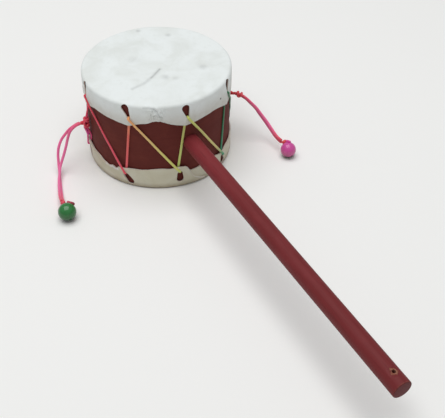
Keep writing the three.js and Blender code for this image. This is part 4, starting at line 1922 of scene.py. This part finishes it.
LOWER_SKIN = SkinForm(
    drum=DRUM,
    face=Face.DOWN,
    edge=12.6,
    hole_length=8.5,
    hole_round=2.2,
    tip_round=1.7,
    tips=(
        Tip(-99.5, 12.0, 1.2),
        Tip(-52.6, 10.2, 2.8),
        Tip(-10.5, 12.8, 0.2, -1.3),
        Tip(31.6, 10.0, 1.0),
        Tip(80.5, 9.9, 0.8),
        Tip(124.5, 10.2, 1.8),
        Tip(169.5, 9.8, 0.4),
        Tip(215.0, 10.0, 1.4),
    ),
    bites=(
        Bite(-102, 3.8, 9),
        Bite(-76, -0.5, 3),
        Bite(-69, -2.4, 8),
        Bite(-61.4, -1.9, 1.6),
        Bite(-48, 1.0, 9),
        Bite(-26, 2.6, 12),
        Bite(-10, 3.2, 6.5),
        Bite(-5.2, 1.3, 1.8),
        Bite(-1.2, -0.9, 1.6),
        Bite(2, -2.0, 7),
        Bite(28, -1.1, 4),
        Bite(55, 1.0, 12),
        Bite(104, 1.6, 10),
        Bite(148, 1.2, 9),
        Bite(192, 1.8, 11),
        Bite(238, 1.1, 9),
    ),
)
CRUMPLED = (
    Ridge(((-26.4, 59.6), (-24.8, 58.2), (-23.2, 56.6), (-22.6, 54.2)), 0.9, 0.65),
    Ridge(((-35.0, 58.8), (-31.0, 58.9), (-27.6, 58.4), (-25.6, 57.0)), -0.3, 0.6),
    Ridge(((-29.4, 57.4), (-28.6, 54.5), (-28.0, 51.2)), 0.45, 0.55),
    Ridge(((-27.0, 54.8), (-25.6, 52.6), (-24.0, 52.0)), 0.6, 0.6),
    Ridge(((-21.2, 57.4), (-20.4, 54.0), (-20.0, 50.5)), 0.4, 0.55),
)
LEFT_HITCH, RIGHT_HITCH = HitchPlace(0, 30.0), HitchPlace(4, 27.5)
LACING = LacingForm(DRUM, UPPER_SKIN, LOWER_SKIN, LACE, (LEFT_HITCH, RIGHT_HITCH))

HEAD_CREASE = (
    (6.5, -1.1, 60.0),
    (9.9, -5.7, 60.0),
    (12.5, -9.6, 60.0),
    (15.9, -15.3, 60.0),
    (17.9, -23.7, 60.0),
)
HEAD_SMUDGES = (
    Spot((15.5, -1.9, 60.0), 4.0, 0.3),
    Spot((19.5, 3.0, 60.0), 3.0, 0.2),
    Spot((-40.0, 6.1, 60.0), 2.6, 0.4),
    Spot((-26.7, 20.7, 60.0), 3.2, 0.3),
    Spot((16.4, 22.7, 60.0), 4.5, 0.28),
    Spot((-10.0, -10.5, 60.0), 6.0, 0.12),
)
FLAP_FOLD = Fold(
    (
        (-4.6, 14.9),
        (-3.4, 12.8),
        (-2.1, 11.2),
        (-0.6, 8.4),
        (0.8, 6.3),
        (3.4, 4.5),
        (6.7, 3.0),
        (10.5, 2.2),
    )
)
TORN_LIPS = ((-72.0, 10.0), (-70.0, 10.6), (-67.6, 9.9), (-65.4, 10.5), (-62.8, 9.8), (-60.4, 10.2))

LEFT_ROWS = (
    Row((-4.3, -50.3, 30.7), 1.0, 22),
    Row((-4.7, -52.4, 30.1), 1.0, 20),
    Row((-5.3, -54.8, 28.5), 1.05, 12),
    Row((-6.0, -57.0, 26.2), 1.5, 0),
    Row((-6.5, -59.0, 22.9), 2.1, -8),
    Row((-6.7, -61.2, 19.0), 2.3, -18),
    Row((-6.0, -63.3, 15.0), 2.35, -12),
    Row((-5.1, -64.9, 11.2), 2.05, 5),
    Row((-3.5, -66.4, 7.8), 1.5, 30),
    Row((-1.3, -67.9, 4.9), 1.05, 62),
    Row((2.3, -69.4, 3.1), 1.0, 82),
    Row((6.8, -71.2, 2.3), 1.0, 102),
    Row((12.4, -73.1, 2.2), 1.0, 115),
    Row((18.0, -74.8, 2.6), 1.0, 122),
    Row((23.5, -76.3, 3.7), 1.0, 126),
    Row((28.0, -77.1, 5.1), 1.0, 128),
    Row((31.6, -77.8, 6.9), 1.0, 128),
)
RIGHT_ROWS = (
    Row((7.4, 49.9, 27.3), 1.0, 140),
    Row((8.7, 50.7, 27.6), 1.0, 135),
    Row((10.9, 51.9, 27.8), 1.0, 130),
    Row((12.9, 53.2, 27.3), 1.0, 128),
    Row((14.9, 54.8, 26.0), 1.0, 132),
    Row((17.1, 56.6, 23.8), 1.0, 132),
    Row((19.4, 59.2, 20.4), 1.0, 125),
    Row((23.1, 61.3, 16.2), 1.0, 112),
    Row((26.6, 63.1, 12.6), 1.0, 100),
    Row((31.3, 63.9, 9.9), 1.0, 96),
    Row((35.7, 64.1, 8.3), 1.0, 96),
    Row((39.6, 64.3, 7.5), 1.0, 100),
    Row((43.2, 64.9, 7.2), 1.0, 100),
)

LACING_DYE = (
    (0.0, srgb(150, 62, 160)),
    (0.1, srgb(218, 56, 162)),
    (0.205, srgb(240, 66, 140)),
    (0.232, srgb(240, 58, 98)),
    (0.26, srgb(236, 60, 82)),
    (0.31, srgb(244, 88, 108)),
    (0.335, srgb(242, 94, 102)),
    (0.362, srgb(238, 102, 86)),
    (0.38, srgb(250, 172, 112)),
    (0.405, srgb(240, 204, 130)),
    (0.43, srgb(226, 222, 122)),
    (0.455, srgb(206, 222, 120)),
    (0.485, srgb(204, 206, 118)),
    (0.503, srgb(218, 228, 122)),
    (0.53, srgb(222, 214, 126)),
    (0.552, srgb(222, 206, 132)),
    (0.561, srgb(56, 160, 118)),
    (0.6, srgb(38, 114, 70)),
    (0.65, srgb(74, 128, 94)),
    (0.72, srgb(48, 130, 132)),
    (0.82, srgb(56, 94, 178)),
    (0.92, srgb(104, 72, 178)),
    (1.0, srgb(150, 62, 160)),
)
LEFT_DYE = (
    (0.0, srgb(244, 88, 122)),
    (0.1, srgb(248, 104, 152)),
    (0.3, srgb(250, 116, 172)),
    (0.75, srgb(250, 118, 172)),
    (0.9, srgb(246, 98, 134)),
    (1.0, srgb(232, 72, 94)),
)
RIGHT_DYE = (
    (0.0, srgb(236, 76, 84)),
    (0.14, srgb(242, 84, 102)),
    (0.32, srgb(248, 104, 148)),
    (0.7, srgb(250, 110, 164)),
    (0.88, srgb(246, 94, 124)),
    (1.0, srgb(232, 74, 94)),
)
CORAL = ((0.0, srgb(242, 80, 104)), (1.0, srgb(238, 76, 96)))
DEEP_CORAL = ((0.0, srgb(236, 76, 84)), (1.0, srgb(236, 76, 88)))
MAGENTA = ((0.0, srgb(238, 72, 130)), (0.3, srgb(236, 76, 160)), (1.0, srgb(226, 62, 158)))
DARK_RED = ((0.0, srgb(206, 54, 92)), (1.0, srgb(140, 28, 50)))

# Each gloss: body, painted light on top, painted shade below, cloud size, height.
GREEN_BEAD = Bead(
    colour="green",
    gloss=BeadGloss("green_gloss", srgb(38, 98, 46), srgb(52, 124, 66), srgb(20, 56, 28), 4.0, 10.7),
    centre=Vector((39.0, -78.1, 5.4)),
    mouth=Vector((-0.92, 0.0, 0.39)),
    radius=5.3,
)
PINK_BEAD = Bead(
    colour="pink",
    gloss=BeadGloss("pink_gloss", srgb(196, 82, 140), srgb(210, 84, 160), srgb(88, 32, 50), 3.6, 9.9),
    centre=Vector((49.9, 65.7, 5.0)),
    mouth=Vector((-0.9, 0.05, 0.45)),
    radius=4.9,
)

HITCH_TAIL = ((26.4, 47.3), (25.0, 47.3), (23.4, 46.8), (21.6, 46.3), (20.0, 46.0), (18.5, 45.9))
OVER_GREEN = ((-4.9, 1.9, 2.9), (-4.2, 3.2, 2.4), (-2.6, 4.5, 2.5), (-0.9, 4.7, 3.1))
OVER_PINK = ((-4.1, 0.8, 3.7), (-2.9, 1.0, 4.4), (-1.4, 1.3, 4.9), (-0.5, 1.9, 4.9))


def hitch_tail(name: str, aside: float, rows: Chain) -> Tail:
    """Gives an end of the left hitch, which hangs beside the lacing.

    Args:
        name: Its name.
        aside: How many degrees it hangs beside the lacing.
        rows: Its heights and distances from the drum's axis.

    Returns:
        The tail.
    """
    run = LEFT_HITCH.run
    points = (on_drum(LACING.run_turn(run, height) + aside, radius, height) for height, radius in rows)
    return Tail(name, tuple(points), MAGENTA)


def knot_tail(bead: Bead, over: Sequence[Place], dye: Dye) -> Tail:
    """Gives the end of a bead's knot, which lies over the bead through places seen from its centre."""
    points = tuple(bead.centre + Vector(place) for place in over)
    return Tail(f"{bead.colour}_knot_tail", points, dye)


def bead_strings() -> tuple[BeadString, BeadString]:
    """Gives the two strings, the left one with the green bead and the right one with the pink."""
    left = BeadString(
        side="left",
        cord=STRING,
        lacing=LACING,
        hitch=LEFT_HITCH,
        rows=LEFT_ROWS,
        bead=GREEN_BEAD,
        dye=LEFT_DYE,
        end_dye=CORAL,
        tails=(
            hitch_tail("left_tail_a", -1.25, HITCH_TAIL),
            hitch_tail("left_tail_b", 1.15, HITCH_TAIL[:-1]),
            knot_tail(GREEN_BEAD, OVER_GREEN, DARK_RED),
        ),
    )
    right = BeadString(
        side="right",
        cord=STRING,
        lacing=LACING,
        hitch=RIGHT_HITCH,
        rows=RIGHT_ROWS,
        bead=PINK_BEAD,
        dye=RIGHT_DYE,
        end_dye=DEEP_CORAL,
        tails=(knot_tail(PINK_BEAD, OVER_PINK, MAGENTA),),
        wraps=(Wrap("right_small_knot", 2.4, 6.0, 1.4, 1.3, DEEP_CORAL),),
    )
    return left, right


def make_lacing(bench: Bench) -> None:
    """Makes the dyed lacing."""
    line = LACING.route().drawn(LACE.step)
    # The lacing's braid crevices get painted shade of 0.3.
    satin = Satin("lacing_satin", length_of(line), LACING_DYE, LACE.pitch, LACE.carriers, 0.3)
    mesh = LACE.laid(line, round_ends=False)
    bench.piece("dyed_lacing", mesh, (satin.made(),), "lacing_satin", ("lacing_cord",))
    LOG.info("dyed_lacing: %.0f mm long", length_of(line))


def make_wood(bench: Bench) -> None:
    """Makes the painted shell and the handle."""
    paint = TurnedPaint("shell_paint", srgb(99, 40, 34), srgb(111, 49, 40), srgb(84, 33, 28))
    Shell(DRUM).make(bench, paint.made())
    handle = Handle(DRUM)
    handle_paint = HandlePaint(
        name="handle_paint",
        paint=srgb(129, 46, 51),
        worn=srgb(114, 40, 42),
        worn_from=45.0,
        worn_to=135.0,
        # Brush marks, and painted shade on the end face.
        brush_and_end_shade=srgb(90, 33, 35),
        bright=srgb(134, 52, 56),
        wood=srgb(128, 74, 58),
        bare=srgb(158, 112, 92),
        axis_height=DRUM.handle_height,
        hole=(handle.hole, 0.0, DRUM.handle_height + DRUM.handle_radius),
        end=handle.reach,
        radius=DRUM.handle_radius,
    )
    handle.make(bench, handle_paint.made())


def make_skins(bench: Bench) -> None:
    """Makes the two skins."""
    cut = CutEdge("cut_edge", srgb(206, 190, 178), srgb(226, 214, 202)).made()
    speck = on_drum(29.4, DRUM.radius, 51.5)
    upper_hide = Hide(
        name="upper_hide",
        fresh=srgb(236, 241, 240),
        worn=srgb(222, 226, 222),
        bottom_colour=srgb(200, 196, 186),
        bottom_from=57.0,
        bottom_to=46.0,
        # Painted shade along the head's crease, and a painted shadow under the rim where the skirt is
        # pinched.
        crease_shade_strokes=(
            Stroke(HEAD_CREASE, 2.0, 0.26),
            Stroke(HEAD_CREASE[:3], 0.9, 0.3),
            Stroke(round_drum(CRUMPLED[1].line, DRUM.radius), 1.0, 0.35),
        ),
        # The pinhole in the skirt, painted dark for the shell behind it and its shade.
        pinhole_spots=(Spot(tuple(speck), 0.75, 0.9),),
        smudges=HEAD_SMUDGES,
    )
    Skin(
        form=UPPER_SKIN,
        lacing=LACING,
        name="upper_hide",
        node="upper_skin",
        crease=tuple(Vector(point) for point in HEAD_CREASE),
        puckers=(Pucker(16.4, 22.7, 4.0, 0.2), Pucker(-6.4, -8.5, 5.0, 0.16)),
        torn=(Bite(40, 0.35, 9), Bite(-20, 0.25, 9)),
        crumples=(
            Crumple(-26.0, 6.5, 4.2, 0.95),
            Crumple(64.0, 8.0, 4.0, 0.2),
            Crumple(155.0, 7.0, 5.0, 0.25),
        ),
        ridges=CRUMPLED,
        seed=2.0,
    ).make(bench, upper_hide.made(), cut)
    lower_hide = Hide(
        name="lower_hide",
        fresh=srgb(214, 211, 192),
        worn=srgb(200, 194, 168),
        bottom_colour=srgb(136, 116, 88),
        bottom_from=5.0,
        bottom_to=-0.3,
        # Painted highlights along the flap's folded edge and the torn lips.
        highlight_strokes=(
            Stroke(round_drum(FLAP_FOLD.line, DRUM.radius + 0.6), 0.6, 0.85),
            Stroke(round_drum(TORN_LIPS, DRUM.radius + 0.3), 1.5, 0.85),
        ),
    )
    Skin(
        form=LOWER_SKIN,
        lacing=LACING,
        name="lower_hide",
        node="lower_skin",
        torn=(Bite(-65, 2.0, 6.5), Bite(60, 0.6, 12)),
        fold=FLAP_FOLD,
        crumples=(Crumple(-37.0, 8.0, 2.6, 0.18), Crumple(104.0, 8.0, 5.0, 0.25)),
        ridges=(Ridge(((-38.0, 10.0), (-35.4, 7.1)), 0.3, 0.6),),
        seed=5.0,
    ).make(bench, lower_hide.made(), cut)


def write_sizes() -> None:
    """Updates the scene's view layer."""
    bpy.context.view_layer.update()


def main() -> None:
    """Builds the drum piece by piece, then its studio."""
    logging.basicConfig(level=logging.INFO, format="%(name)s: %(message)s")
    Viewpoint().make()
    bench = Bench()
    for string in bead_strings():
        string.make(bench)
    make_lacing(bench)
    make_wood(bench)
    make_skins(bench)
    Studio(
        lamp=Lamp("ceiling lamp", (-0.02, -0.12, 1.5), 1.4, 18.2),
        sky=(0.98, 0.99, 1.0, 1.0),
        sky_strength=0.31,
        floor=FloorPaper("floor paper", srgb(246, 246, 244)),
    ).make()
    write_sizes()


if __name__ == "__main__":
    main()
